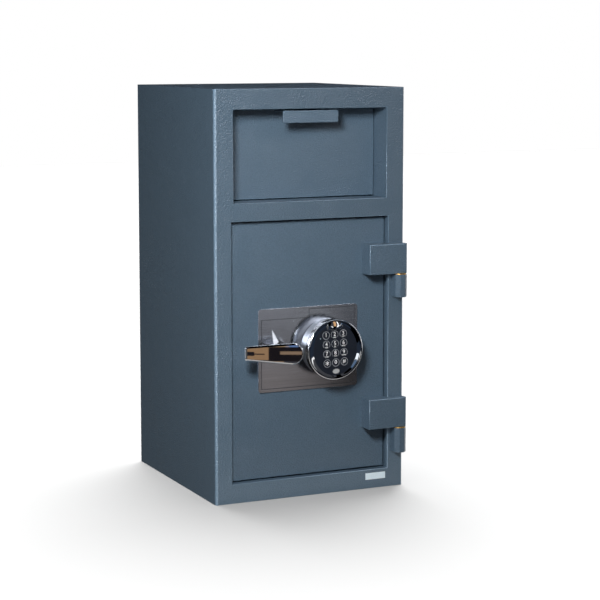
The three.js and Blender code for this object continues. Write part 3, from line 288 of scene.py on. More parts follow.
LOOKS = {
    "powder_coat": powder_coat(),
    "brushed_stainless": brushed_stainless(),
    "chrome": polished("chrome", srgb(226, 228, 230), 0.015),
    "satin_metal": turned_metal("satin_metal", srgb(184, 188, 193), 0.36),
    "bright_steel": turned_metal("bright_steel", srgb(190, 191, 192), 0.36),
    "brass": polished("brass", srgb(178, 138, 76), 0.3),
    "keypad_plastic": plastic("keypad_plastic", srgb(24, 30, 41), 0.34),
    "key_plastic": plastic("key_plastic", srgb(26, 32, 43), 0.4),
    "circuit_board": circuit_board(),
    "zinc_case": polished("zinc_case", srgb(150, 153, 157), 0.42, 0.00008),
    "cable_rubber": plastic("cable_rubber", srgb(34, 35, 38), 0.6),
    "label_paper": paper(),
    "print": plastic("key_print", srgb(252, 253, 255), 0.5),
    "ring_print": plastic("ring_print", srgb(190, 195, 202), 0.5),
    "engraving": plastic("engraving", srgb(44, 46, 52), 0.55),
    "signal_lens": plastic("signal_lens", srgb(170, 190, 205), 0.2),
    "signal_lens_dark": plastic("signal_lens_dark", srgb(52, 60, 70), 0.25),
    "oval_print": plastic("oval_print", srgb(176, 178, 180), 0.5),
}


# Making pieces

def finish_piece(name, shape, body, look, replaced=()):
    """A mesh object from a bmesh, smooth over its rounded edges, riding on its body."""
    bmesh.ops.recalc_face_normals(shape, faces=shape.faces)
    mesh = bpy.data.meshes.new(name)
    shape.to_mesh(mesh)
    shape.free()
    for polygon in mesh.polygons:
        polygon.use_smooth = True
    mesh.set_sharp_from_angle(angle=math.radians(SMOOTH_ANGLE))
    piece = bpy.data.objects.new(name, mesh)
    bpy.context.scene.collection.objects.link(piece)
    mesh.materials.append(LOOKS[look])
    weighted = piece.modifiers.new("even_normals", "WEIGHTED_NORMAL")
    weighted.keep_sharp = True
    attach(piece, body)
    if replaced:
        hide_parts(*replaced)


def node_shape(node):
    """The solid of a CAD node with its flat faces whole again."""
    shape = bmesh.new()
    shape.from_mesh(frame["nodes"][node].data)
    bmesh.ops.remove_doubles(shape, verts=shape.verts, dist=MERGE_DISTANCE)
    bmesh.ops.dissolve_limit(shape, angle_limit=math.radians(FLAT_ANGLE), verts=shape.verts,
                             edges=shape.edges)
    return shape


def round_edges(shape, width, segments, front=None):
    """Rounds all sharp edges by a width in millimetres, or only those in the plane y = front."""

    def chosen(edge):
        return front is None or all(abs(vert.co.y - front) < PLANE_DISTANCE for vert in edge.verts)

    edges = [edge for edge in shape.edges
             if len(edge.link_faces) == 2
             and edge.calc_face_angle(0) > math.radians(SHARP_ANGLE)
             and chosen(edge)]
    bmesh.ops.bevel(shape, geom=edges, offset=width * MM, offset_type="OFFSET", segments=segments,
                    profile=0.5, affect="EDGES", clamp_overlap=front is None)


def mark_highlight_edges(shape):
    """Marks the rounded edges of a box-like shape, where the paint carries a painted highlight."""
    shape.normal_update()
    layer = shape.faces.layers.float.new(HIGHLIGHT_MARK)
    for face in shape.faces:
        face[layer] = float(max(abs(part) for part in face.normal) < FLAT_NORMAL)


def dress(node, look, width, segments=COARSE_SEGMENTS):
    """The node's own shape with rounded edges and a material."""
    shape = node_shape(node)
    round_edges(shape, width, segments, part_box(node)[0][1] if node in FRONT_ROUNDED else None)
    # Rounded edges of these pieces carry a painted highlight in the paint
    if node in HIGHLIGHT_EDGED:
        mark_highlight_edges(shape)
    finish_piece(node + "_skin", shape, BODY_OF[node], look, [node])


def turned(profile, place, closed=False):
    """A profile turned round Y, as (radius, y, squeeze) points. The squeeze narrows it towards +-X."""
    shape = bmesh.new()
    rings = []
    for radius, y, squeeze in profile:
        if radius == 0:
            rings.append([shape.verts.new((0, y * MM, 0))])
            continue
        ring = []
        for side in range(TURNED_SIDES):
            turn = 2 * math.pi * side / TURNED_SIDES
            reach = (radius - squeeze * math.cos(turn) ** 2) * MM
            ring.append(shape.verts.new((reach * math.cos(turn), y * MM, reach * math.sin(turn))))
        rings.append(ring)
    pairs = list(zip(rings, rings[1:]))
    if closed:
        pairs.append((rings[-1], rings[0]))
    for first, second in pairs:
        for side in range(TURNED_SIDES):
            after = (side + 1) % TURNED_SIDES
            corners = [first[side % len(first)], first[after % len(first)],
                       second[after % len(second)], second[side % len(second)]]
            unique = list(dict.fromkeys(corners))
            if len(unique) > 2:
                shape.faces.new(unique)
    bmesh.ops.transform(shape, matrix=place, verts=shape.verts)
    return shape


def arc(centre, radius, start, end, steps):
    """Points of an arc in the profile's plane, angles in degrees from +radius towards +y."""
    points = []
    for step in range(steps + 1):
        angle = math.radians(start + (end - start) * step / steps)
        points.append((centre[0] + radius * math.cos(angle), centre[1] + radius * math.sin(angle)))
    return points


def plate(outline, back, front):
    """A solid plate from an outline of (x, z) points, millimetres, between two y planes."""
    shape = bmesh.new()
    rims = [[shape.verts.new((x * MM, y * MM, z * MM)) for x, z in outline] for y in (back, front)]
    count = len(outline)
    shape.faces.new(rims[0])
    shape.faces.new(list(reversed(rims[1])))
    for index in range(count):
        after = (index + 1) % count
        shape.faces.new([rims[0][index], rims[0][after], rims[1][after], rims[1][index]])
    return shape


def line_frame(corners, width, back, front):
    """A closed line of the given width that follows corners, mitred, as one thin ring."""
    shape = bmesh.new()
    count = len(corners)
    inner = []
    outer = []
    for index in range(count):
        before, here, after = (Vector(corners[(index + step) % count]) for step in (-1, 0, 1))
        first = (here - before).normalized()
        second = (after - here).normalized()
        side_one = Vector((-first.y, first.x))
        side_two = Vector((-second.y, second.x))
        mitre = (side_one + side_two).normalized()
        reach = width / 2 / mitre.dot(side_one)
        inner.append(here + mitre * reach)
        outer.append(here - mitre * reach)
    rings = [[shape.verts.new((point.x * MM, y * MM, point.y * MM)) for point in points]
             for points, y in ((inner, back), (inner, front), (outer, front), (outer, back))]
    for first, second in zip(rings, rings[1:] + rings[:1]):
        for index in range(count):
            after = (index + 1) % count
            shape.faces.new([first[index], first[after], second[after], second[index]])
    return shape


def characters(text, size, offset):
    """A short text as a thin mesh, centred in the XY plane, millimetres. The offset thickens its strokes."""
    curve = bpy.data.curves.new("characters", "FONT")
    curve.body = text
    curve.size = size
    curve.offset = offset
    curve.extrude = PRINT_DEPTH
    curve.resolution_u = CHARACTER_STEPS
    curve.align_x = "CENTER"
    curve.align_y = "CENTER"
    thing = bpy.data.objects.new("characters", curve)
    bpy.context.scene.collection.objects.link(thing)
    bpy.context.view_layer.update()
    depsgraph = bpy.context.evaluated_depsgraph_get()
    mesh = bpy.data.meshes.new_from_object(thing.evaluated_get(depsgraph))
    bpy.data.objects.remove(thing)
    bpy.data.curves.remove(curve)
    return mesh


# Painted steelwork: every node keeps its shape and gets rounded edges, as (width, segments)
PAINTED = {
    "front_frame": (1.3, 4),
    "side_plate_left": (0.3, 2),
    "side_plate_right": (0.3, 2),
    "top_plate": (0.3, 2),
    "floor_plate": (0.4, 2),
    "back_plate": (0.3, 2),
    "recess_collar": (0.5, 2),
    "door_jamb": (0.5, 2),
    "throat_baffle": (0.4, 2),
    "drop_partition": (0.4, 2),
    "rear_baffle": (0.4, 2),
    "door_plate": (0.8, 3),
    "hinge_block_lower": (1.5, 4),
    "hinge_block_upper": (1.5, 4),
    "boltwork_cover": (0.5, 2),
    "hopper_panel": (1.2, 3),
    "hopper_lip": (1.2, 3),
    "hopper_tray": (0.4, 2),
}
for node, (width, segments) in PAINTED.items():
    dress(node, "powder_coat", width, segments)

# Hinge knuckles: flat front between two facets
KNUCKLE_CHAMFER = 6.6
KNUCKLE_ROUNDING = 0.8
for node in ("hinge_knuckle_lower", "hinge_knuckle_upper"):
    low, high = ([value / MM for value in corner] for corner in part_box(node))
    facet_y = low[1] + KNUCKLE_CHAMFER
    outline = [(low[0], high[1]), (low[0], facet_y), (low[0] + KNUCKLE_CHAMFER, low[1]),
               (high[0] - KNUCKLE_CHAMFER, low[1]), (high[0], facet_y), (high[0], high[1])]
    knuckle = plate([(x, -y) for x, y in outline], low[2], high[2])
    bmesh.ops.recalc_face_normals(knuckle, faces=knuckle.faces)
    bmesh.ops.rotate(knuckle, cent=(0, 0, 0), matrix=Matrix.Rotation(math.radians(90), 3, "X"),
                     verts=knuckle.verts)
    round_edges(knuckle, KNUCKLE_ROUNDING, FINE_SEGMENTS)
    finish_piece(node + "_facets", knuckle, BODY_OF[node], "powder_coat", [node])

# Metal, plastic and paper pieces: look and rounding width
METALWORK = {
    "hinge_washer_lower": ("brass", 0.2),
    "hinge_washer_upper": ("brass", 0.2),
    "hinge_pin_lower": ("bright_steel", 0.4),
    "hinge_pin_upper": ("bright_steel", 0.4),
    "hopper_pin_left": ("bright_steel", 0.4),
    "hopper_pin_right": ("bright_steel", 0.4),
    "keypad_board": ("circuit_board", 0.1),
    "bolt_guide": ("bright_steel", 0.4),
    "dead_bar": ("bright_steel", 0.5),
    "lock_case": ("zinc_case", 0.8),
    "lock_cable": ("cable_rubber", 0.1),
    "lock_bolt": ("bright_steel", 0.5),
    "cover_screw_1": ("bright_steel", 0.3),
    "cover_screw_2": ("bright_steel", 0.3),
    "cover_screw_3": ("bright_steel", 0.3),
    "cover_screw_4": ("bright_steel", 0.3),
    "handle_lever": ("chrome", 0.5),
    "spindle_cam": ("bright_steel", 0.4),
    "bolt_carriage": ("bright_steel", 0.4),
    "locking_bolt_lower": ("bright_steel", 1.2),
    "locking_bolt_middle": ("bright_steel", 1.2),
    "locking_bolt_upper": ("bright_steel", 1.2),
    "blank_label": ("label_paper", 0.05),
    "escutcheon": ("brushed_stainless", 0.8),
    "keypad_face": ("keypad_plastic", 0.15),
}
for node, (look, width) in METALWORK.items():
    dress(node, look, width, FINE_SEGMENTS if look == "chrome" else COARSE_SEGMENTS)

# Keypad drum and its chrome bezel, as (radius, y, squeeze) profiles
KEYPAD_PLACE = (Matrix.Translation((KEYPAD_CENTRE_X * MM, ESCUTCHEON_FRONT_Y * MM, DOOR_MIDDLE_Z * MM))
                @ Matrix.Rotation(math.radians(-KEYPAD_TURN), 4, "Y"))
DRUM_PROFILE = [
    (0, 0, 0), (0, -3, 0), (38, -3, 0), (38, -24.6, 0), (42, -24.6, 0), (42, -29, 0),
    (47.6, -29, 0), (48, -28.6, 0), (48, -2.2, 0), (47.4, -1.4, 0), (47.4, 0, 0),
]
BEZEL_INSIDE = [
    (48.32, -25, 0), (48.32, -29, 0), (45.02, -29, 0), (45.02, -35.3, 0), (43.6, -35.3, 3),
    (43.52, -35.7, 3), (44.6, -36.1, 2.6), (46, -36.9, 1.4), (47.2, -37.35, 0.5),
]
BEZEL_OUTSIDE = [(51.02, -25.4, 0), (50.7, -25, 0)]
CROWN_CENTRE = (48.42, -34.9)
CROWN_RADIUS = 2.6
CROWN_STEPS = 8
finish_piece("keypad_drum", turned(DRUM_PROFILE, KEYPAD_PLACE), "door", "satin_metal",
             ["keypad_base"])
crown = [(radius, y, 0) for radius, y in arc(CROWN_CENTRE, CROWN_RADIUS, 270, 360, CROWN_STEPS)]
bezel = turned(BEZEL_INSIDE + crown + BEZEL_OUTSIDE, KEYPAD_PLACE, closed=True)
finish_piece("keypad_ring", bezel, "door", "chrome", ["keypad_bezel"])

# Chrome pod above the keys: bulged across its width and sloping up into the bezel
POD_BOTTOM = 34.0
POD_RADIUS = 47.8
POD_HALF_WIDTHS = (12.5, 17.4)
POD_FRONT = -39.2
POD_BULGE = 2.2
POD_SIDE_DROP = 0.8
POD_SIDE_POWER = 12
POD_COLUMNS = 16

# Share of the way up the pod and how far the surface sinks there
POD_SLOPE = (
    (0.0, 1.8), (0.05, 0.6), (0.11, 0.1), (0.25, 0.0),
    (0.5, 0.1), (0.7, 0.4), (0.85, 0.9), (1.0, 1.7),
)


def pod_point(share, sink, across):
    """A point of the pod's front: share of the way up, and across from -1 to 1."""
    x = (POD_HALF_WIDTHS[0] + (POD_HALF_WIDTHS[1] - POD_HALF_WIDTHS[0]) * share) * across
    top = math.sqrt(POD_RADIUS ** 2 - x ** 2)
    z = POD_BOTTOM + (top - POD_BOTTOM) * share
    y = POD_FRONT + sink + POD_BULGE * across ** 2 + POD_SIDE_DROP * across ** POD_SIDE_POWER
    return (x * MM, min(y, FACE_FRONT) * MM, z * MM)


def pod_shape():
    """The pod as a closed shell, with its foot on the keypad's face."""
    shape = bmesh.new()
    rows = [[shape.verts.new(pod_point(share, sink, 2 * column / POD_COLUMNS - 1))
             for column in range(POD_COLUMNS + 1)] for share, sink in POD_SLOPE]
    for lower, upper in zip(rows, rows[1:]):
        for column in range(POD_COLUMNS):
            shape.faces.new([lower[column], lower[column + 1], upper[column + 1], upper[column]])
    rim = (rows[0] + [row[-1] for row in rows[1:-1]]
           + list(reversed(rows[-1])) + [row[0] for row in reversed(rows[1:-1])])
    foot = [shape.verts.new((vert.co.x, FACE_FRONT * MM, vert.co.z)) for vert in rim]
    sunk = [(upper.co - lower.co).length < MERGE_DISTANCE for upper, lower in zip(rim, foot)]
    for index in range(len(rim)):
        after = (index + 1) % len(rim)
        if not (sunk[index] and sunk[after]):
            shape.faces.new([rim[index], rim[after], foot[after], foot[index]])
    shape.faces.new(foot)
    bmesh.ops.remove_doubles(shape, verts=shape.verts, dist=MERGE_DISTANCE)
    bmesh.ops.transform(shape, matrix=KEYPAD_PLACE, verts=shape.verts)
    return shape


finish_piece("keypad_pod_shell", pod_shape(), "door", "chrome", ["keypad_pod"])

# Engraved line on the escutcheon, with a bare header box at its top left
BORDER = [(-88, 187), (85, 187), (85, 318.5), (0, 318.5), (0, 304), (-88, 304)]
BORDER_WIDTH = 1.0
BORDER_SUNK = 0.1
BORDER_PROUD = 0.04
border = line_frame(BORDER, BORDER_WIDTH, ESCUTCHEON_FRONT_Y + BORDER_SUNK, ESCUTCHEON_FRONT_Y - BORDER_PROUD)
finish_piece("escutcheon_border", border, "door", "engraving")

# Keys with their printed rings and characters
KEY_TEXTS = [
    [("1", ""), ("2", "ABC"), ("3", "DEF")],
    [("4", "GHI"), ("5", "JKL"), ("6", "MNO")],
    [("7", "PQRS"), ("8", "TUV"), ("9", "WXYZ")],
    [("*", ""), ("0", ""), ("#", "")],
]
KEY_NAMES = {"*": "star", "#": "hash"}
KEY_ROUNDING = 0.25
PRINT_DEPTH = 0.02
CHARACTER_STEPS = 3
UPRIGHT = Matrix.Rotation(math.radians(90), 4, "X")

# Size, stroke offset and height over the key's centre of each kind of print
DIGIT_PRINT = (9.4, 0.02, 0.6)
STAR_PRINT = (16, 0.05, -3.0)
LETTERS_PRINT = (2.9, 0.06, -4.8)
FOUR_LETTERS_PRINT = (2.5, 0.06, -4.8)

# Printed rings. A ring over letters is open at the bottom, by this many degrees each side
KEY_RING = (6.15, 6.6)
RING_OPENING = 44
RING_STEPS = 40


def ring_band(inner, outer, opening, squash=1.0):
    """A printed ring round the origin in the XZ plane, open at the bottom over some degrees each side."""
    start = math.radians(opening - 90)
    end = math.radians(270 - opening)
    outline = []
    for radius, steps in ((outer, range(RING_STEPS + 1)), (inner, range(RING_STEPS, -1, -1))):
        for step in steps:
            turn = start + (end - start) * step / RING_STEPS
            outline.append((radius * math.cos(turn), radius * squash * math.sin(turn)))
    shape = bmesh.new()
    half = len(outline) // 2
    rims = [[shape.verts.new((x * MM, y * MM, z * MM)) for x, z in outline]
            for y in (PRINT_DEPTH, -PRINT_DEPTH)]
    for index in range(half - 1):
        other = len(outline) - 1 - index
        for rim in rims:
            shape.faces.new([rim[index], rim[index + 1], rim[other - 1], rim[other]])
    for index in range(len(outline)):
        after = (index + 1) % len(outline)
        shape.faces.new([rims[0][index], rims[0][after], rims[1][after], rims[1][index]])
    return shape


def key_prints(digit, letters):
    """The texts on a key, each with its size, stroke offset and height."""
    if digit == "*":
        return [(digit, STAR_PRINT)]
    prints = [(digit, DIGIT_PRINT)]
    if letters:
        prints.append((letters, FOUR_LETTERS_PRINT if len(letters) == 4 else LETTERS_PRINT))
    return prints


def add_key(digit, letters, centre):
    """A key with its characters and its ring."""
    name = "key_" + KEY_NAMES.get(digit, digit)
    body = BODY_OF[name]
    dress(name, "key_plastic", KEY_ROUNDING)
    printed = bmesh.new()
    for text, (size, offset, rise) in key_prints(digit, letters):
        mesh = characters(text, size, offset)
        mesh.transform(Matrix.Translation(centre + Vector((0, 0, rise))) @ UPRIGHT)
        printed.from_mesh(mesh)
    bmesh.ops.transform(printed, matrix=KEYPAD_PLACE @ Matrix.Scale(MM, 4), verts=printed.verts)
    finish_piece(name + "_print", printed, body, "print")
    ring = ring_band(*KEY_RING, RING_OPENING if letters else 0)
    bmesh.ops.transform(ring, matrix=KEYPAD_PLACE @ Matrix.Translation(centre * MM), verts=ring.verts)
    finish_piece(name + "_ring", ring, body, "ring_print")


for row, texts in enumerate(KEY_TEXTS):
    for column, (digit, letters) in enumerate(texts):
        add_key(digit, letters, Vector(((column - 1) * KEY_PITCH, KEY_FRONT, KEY_TOP_ROW - row * KEY_PITCH)))

# Small things on the keypad's face: two signal lights and a bare pale oval, as (x, z, width, height, look)
SPOT_SUNK = 0.1
SPOT_PROUD = 0.06
FACE_SPOTS = {
    "signal_light_left": (-26.4, 21.4, 1.9, 1.9, "signal_lens"),
    "signal_light_right": (31.2, 2.1, 2.6, 2.6, "signal_lens_dark"),
    "oval_field": (0, -37, 13.2, 8.6, "oval_print"),
}
OVAL_LINE = (5.9, 6.3)
OVAL_LINE_PROUD = 0.08
for name, (x, z, width, height, look) in FACE_SPOTS.items():
    turns = [2 * math.pi * step / RING_STEPS for step in range(RING_STEPS)]
    outline = [(x + width / 2 * math.cos(turn), z + height / 2 * math.sin(turn)) for turn in turns]
    spot = plate(outline, FACE_FRONT + SPOT_SUNK, FACE_FRONT - SPOT_PROUD)
    bmesh.ops.transform(spot, matrix=KEYPAD_PLACE, verts=spot.verts)
    finish_piece(name, spot, "door", look)
oval_x, oval_z, oval_width, oval_height, _ = FACE_SPOTS["oval_field"]
oval_line = ring_band(*OVAL_LINE, 0, oval_height / oval_width)
oval_place = Matrix.Translation((oval_x * MM, (FACE_FRONT - OVAL_LINE_PROUD) * MM, oval_z * MM))
bmesh.ops.transform(oval_line, matrix=KEYPAD_PLACE @ oval_place, verts=oval_line.verts)
finish_piece("oval_line", oval_line, "door", "engraving")

# Camera
camera_data = bpy.data.cameras.new("camera")
camera = bpy.data.objects.new("camera", camera_data)
camera.location = CAMERA_PLACE
camera.rotation_euler = (math.radians(90 - CAMERA_PITCH), 0, math.radians(-CAMERA_YAW))
camera_data.lens = CAMERA_LENS
camera_data.sensor_width = CAMERA_SENSOR
camera_data.shift_y = CAMERA_SHIFT_Y
bpy.context.scene.collection.objects.link(camera)
bpy.context.scene.camera = camera

# Floor and world
FLOOR_SIZE = (16, 16)
FLOOR_PAPER = (0.2, 0.2, 0.2, 1)
FLOOR_GLOW = 0.22
FLOOR_BOUNCE = 0.12
WORLD_SOFT = (0.94, 0.98, 1, 1)
WORLD_SOFT_STRENGTH = 0.06


def emptied(tree_owner):
    """The nodes and links of a material or world, without the nodes that Blender puts there."""
    tree_owner.use_nodes = True
    nodes = tree_owner.node_tree.nodes
    nodes.clear()
    return nodes, tree_owner.node_tree.links


def larger(nodes, links, first, second):
    """The larger of two values."""
    node = nodes.new("ShaderNodeMath")
    node.operation = "MAXIMUM"
    links.new(first, node.inputs[0])
    links.new(second, node.inputs[1])
    return node.outputs[0]


def mix_by_ray(nodes, links, light, background, output):
    """Shows the background to camera, transmission and glossy rays, and the light to all others."""
    path = nodes.new("ShaderNodeLightPath").outputs
    seen = larger(nodes, links, path["Is Camera Ray"], path["Is Transmission Ray"])
    seen = larger(nodes, links, seen, path["Is Glossy Ray"])
    mix = nodes.new("ShaderNodeMixShader")
    links.new(seen, mix.inputs["Fac"])
    links.new(light.outputs[0], mix.inputs[1])
    links.new(background.outputs[0], mix.inputs[2])
    links.new(mix.outputs[0], output.inputs["Surface"])


def add_stage_plane(name, size, material):
    """A flat rectangle that belongs to the studio."""
    shape = bmesh.new()
    bmesh.ops.create_grid(shape, x_segments=1, y_segments=1, size=0.5)
    bmesh.ops.scale(shape, vec=(size[0], size[1], 1), verts=shape.verts)
    mesh = bpy.data.meshes.new(name)
    shape.to_mesh(mesh)
    shape.free()
    thing = bpy.data.objects.new(name, mesh)
    bpy.context.scene.collection.objects.link(thing)
    mesh.materials.append(material)
    return thing


def add_floor():
    """White where the light reaches it, grey where the safe keeps the light off."""
    material = bpy.data.materials.new("floor_paper")
    nodes, links = emptied(material)
    output = nodes.new("ShaderNodeOutputMaterial")
    lit = nodes.new("ShaderNodeBsdfDiffuse")
    lit.inputs["Color"].default_value = FLOOR_PAPER
    glow = nodes.new("ShaderNodeEmission")
    glow.inputs["Strength"].default_value = FLOOR_GLOW
    shown = nodes.new("ShaderNodeAddShader")
    links.new(lit.outputs[0], shown.inputs[0])
    links.new(glow.outputs[0], shown.inputs[1])
    bounce = nodes.new("ShaderNodeEmission")
    bounce.inputs["Strength"].default_value = FLOOR_BOUNCE
    mix_by_ray(nodes, links, bounce, shown, output)
    return add_stage_plane("floor", FLOOR_SIZE, material)


def set_world():
    """White where it is seen, and a weak soft light elsewhere."""
    world = bpy.data.worlds.new("studio")
    bpy.context.scene.world = world
    nodes, links = emptied(world)
    output = nodes.new("ShaderNodeOutputWorld")
    white = nodes.new("ShaderNodeBackground")
    white.inputs["Color"].default_value = (1, 1, 1, 1)
    soft = nodes.new("ShaderNodeBackground")
    soft.inputs["Color"].default_value = WORLD_SOFT
    soft.inputs["Strength"].default_value = WORLD_SOFT_STRENGTH
    mix_by_ray(nodes, links, soft, white, output)


def aimed(thing, place, target):
    """Puts a lamp or card at a place, facing the target."""
    thing.location = place
    thing.rotation_euler = (Vector(target) - Vector(place)).to_track_quat("-Z", "Y").to_euler()
    return thing


floor = add_floor()
set_world()

# Lamps: place, target, size, watts, colour
LAMPS = {
    "key_lamp": ((-0.86, -1.18, 0.87), (-0.1, -0.18, 0.45), (0.36, 0.36), 16.6, (0.97, 0.99, 1)),
    "high_key_lamp": ((-0.68, -1.15, 1.0), (0, -0.18, 0.35), (0.26, 0.26), 17.4, (0.97, 0.99, 1)),
    "low_fill": ((-0.2, -0.95, 0.16), (-0.08, -0.18, 0.2), (0.3, 0.2), 0.8, (1, 0.92, 0.84)),
    "floor_bounce": ((0, -0.46, 0.03), (0, -0.18, 0.06), (0.7, 0.04), 0.16, (1, 0.9, 0.8)),
    "right_lamp": ((1.6, 0.7, 0.65), (0.1, 0, 0.35), (0.8, 0.8), 26, (1, 1, 1)),
    "rear_lamp": ((0.25, 1.9, 0.65), (0, 0.18, 0.35), (0.8, 0.8), 26, (1, 1, 1)),
}
DIFFUSE_LAMPS = ["low_fill", "floor_bounce", "right_lamp", "rear_lamp"]

# Suns that light only the floor: place, angle in degrees, strength
FLOOR_SUNS = {
    "floor_sky": ((0, 0.1, 3), 100, 4.8),
    "floor_sun": ((0.3, 0.66, 1.25), 50, 10.2),
}

# Pieces that the higher key lamp lights
HIGH_LIT = ["hopper_panel_skin", "hopper_lip_skin", "recess_collar_skin", "door_plate_skin", "door_jamb_skin",
            "hinge_block_lower_skin", "hinge_block_upper_skin"] + KNUCKLES

# What each lamp leaves out beside the floor
SPARED = {
    "key_lamp": HIGH_LIT + [DRUM, PLATE],
    "low_fill": HIGH_LIT,
    "floor_bounce": HIGH_LIT,
    "right_lamp": [],
    "rear_lamp": [],
}


def light_link(source, names, only):
    """The source lights only these things, or everything but them."""
    group = bpy.data.collections.new(source.name + "_receivers")
    for index, name in enumerate(names):
        group.objects.link(bpy.data.objects[name])
        if not only:
            group.collection_objects[index].light_linking.link_state = "EXCLUDE"
    source.light_linking.receiver_collection = group


def add_lamp(name, place, target, size, power, color):
    """A rectangular lamp that faces its target."""
    data = bpy.data.lights.new(name, "AREA")
    data.shape = "RECTANGLE"
    data.size, data.size_y = size
    data.energy = power
    data.color = color
    lamp = aimed(bpy.data.objects.new(name, data), place, target)
    bpy.context.scene.collection.objects.link(lamp)
    return lamp


def add_sun(name, place, angle, strength):
    """A sun that shines from a place towards the middle of the floor."""
    data = bpy.data.lights.new(name, "SUN")
    data.energy = strength
    data.angle = math.radians(angle)
    sun = aimed(bpy.data.objects.new(name, data), place, (0, 0, 0))
    bpy.context.scene.collection.objects.link(sun)
    return sun


for name, settings in LAMPS.items():
    lamp = add_lamp(name, *settings)
    lamp.visible_glossy = name not in DIFFUSE_LAMPS
    if name in SPARED:
        light_link(lamp, [floor.name] + SPARED[name], only=False)
    else:
        light_link(lamp, HIGH_LIT, only=True)
for name, settings in FLOOR_SUNS.items():
    light_link(add_sun(name, *settings), [floor.name], only=True)


def add_card(name, place, target, size, color):
    """A studio card that only reflections show."""
    material = bpy.data.materials.new(name)
    nodes, links = emptied(material)
    output = nodes.new("ShaderNodeOutputMaterial")
    glow = nodes.new("ShaderNodeEmission")
    glow.inputs["Color"].default_value = color + (1,)
    links.new(glow.outputs[0], output.inputs["Surface"])
    card = aimed(add_stage_plane(name, size, material), place, target)
    card.visible_camera = False
    card.visible_diffuse = False
    card.visible_transmission = False
    card.visible_volume_scatter = False
    card.visible_shadow = False
    return card


# Room seen only in reflections: middle of each wall, colour
WALL = 4.0
WALL_HEIGHT = 3.4
ROOM = {
    "wall_front": ((0, -WALL), (0.06, 0.062, 0.07)),
    "wall_back": ((0, WALL), (0.03, 0.032, 0.035)),
    "wall_left": ((-WALL, 0), (0.08, 0.085, 0.095)),
    "wall_right": ((WALL, 0), (0.06, 0.062, 0.07)),
}
CEILING = (0.05, 0.07, 0.12)
for name, ((x, y), color) in ROOM.items():
    add_card(name, (x, y, WALL_HEIGHT / 2), (0, 0, WALL_HEIGHT / 2), (2 * WALL, WALL_HEIGHT), color)
add_card("ceiling", (0, 0, WALL_HEIGHT), (0, 0, 0), (2 * WALL, 2 * WALL), CEILING)

# Cards: place, target, size, colour, and whether they show only in the pieces named or in all but those
ONLY = True
ALL_BUT = False
DARK_FLOOR = (0.02, 0.028, 0.045)
CARDS = {
    "left_softbox": ((-1.4, -1.8, 0.65), (0, -0.2, 0.45), (1.1, 1.1), (13, 13.6, 14.6),
                     ALL_BUT, [POD, DRUM, RING] + KNUCKLES),
    "drum_front_card": ((-0.8, -3.3, 1.2), (0, -0.2, 0.25), (2.8, 2.4), (1.7, 1.76, 1.88),
                        ONLY, [DRUM, PLATE]),
    "ring_floor_near": ((1.1, -1.1, 0.001), (1.1, -1.1, 1), (2.6, 1.62), DARK_FLOOR, ONLY, [RING, POD]),
    "ring_floor_far": ((-0.9, -3.05, 0.001), (-0.9, -3.05, 1), (2.6, 2.28), DARK_FLOOR,
                       ONLY, [RING, POD]),
    "ring_crescent_card": ((-0.1, -2.06, 0.24), (0, -0.2, 0.25), (0.3, 0.24), (1.2, 1.25, 1.35),
                           ONLY, [RING]),
    "ring_crescent_tail": ((-0.1, -2.06, 0.6), (0, -0.2, 0.25), (0.26, 0.44), (0.1, 0.16, 0.26),
                           ONLY, [RING]),
    "ring_high_card": ((-0.75, -0.7, 1.25), (0, -0.2, 0.3), (0.2, 0.5), (0.7, 0.75, 0.8), ONLY, [RING]),
    "rim_left_card": ((-1.5, -0.43, 0.5), (0, -0.43, 0.5), (0.46, 1.4), (2.6, 2.9, 3.4),
                      ALL_BUT, [POD, DRUM]),
    "rim_right_card": ((1.5, -0.5, 0.5), (0, -0.5, 0.5), (0.6, 1.4), (1.5, 1.5, 1.6),
                       ALL_BUT, [POD, DRUM]),
    "rim_top_card": ((0, -0.285, 1.75), (0, -0.285, 0), (3, 0.19), (1.6, 1.6, 1.7),
                     ALL_BUT, [POD, DRUM]),
    "edge_top_card": ((0, -0.45, 1.95), (0, -0.45, 0), (3, 1.3), (3.0, 3.1, 3.4),
                      ALL_BUT, [POD, DRUM, RING, LEVER, PLATE]),
    "rim_low_card": ((0, -0.24, 0.004), (0, -0.24, 1), (2, 0.1), (1.0, 0.92, 0.85),
                     ALL_BUT, [POD, DRUM]),
    "high_softbox": ((0.75, -1.55, 1.7), (0, -0.2, 0.5), (1.4, 0.6), (12, 12.3, 13),
                     ALL_BUT, [POD, LEVER, RING]),
    "side_flag": ((-2.075, 0, 0.0005), (-2.075, 0, 1), (3.8, 7.8), (0.11, 0.11, 0.11), ALL_BUT, []),
    "right_strip": ((2.2, 0.5, 0.8), (0, -0.2, 0.4), (0.3, 1.4), (2.0, 2.1, 2.2), ALL_BUT, []),
    "pod_brown": ((0.52, -1.3, 0.6), (0.03, -0.2, 0.29), (0.22, 1.0), (0.8, 0.45, 0.22), ONLY, [POD]),
    "pod_white": ((0.8, -1.2, 0.6), (0.03, -0.2, 0.29), (0.06, 1.0), (2.2, 2.2, 2.2), ONLY, [POD]),
    "pod_blue": ((1.3, -0.8, 0.6), (0.03, -0.2, 0.29), (0.25, 1.0), (0.22, 0.32, 0.5), ONLY, [POD]),
    "pod_left": ((-0.3, -1.5, 0.6), (0.03, -0.2, 0.29), (0.12, 1.0), (0.9, 0.92, 0.95), ONLY, [POD]),
}
for name, (place, target, size, color, only, pieces) in CARDS.items():
    card = add_card(name, place, target, size, color)
    if pieces:
        light_link(card, pieces, only)

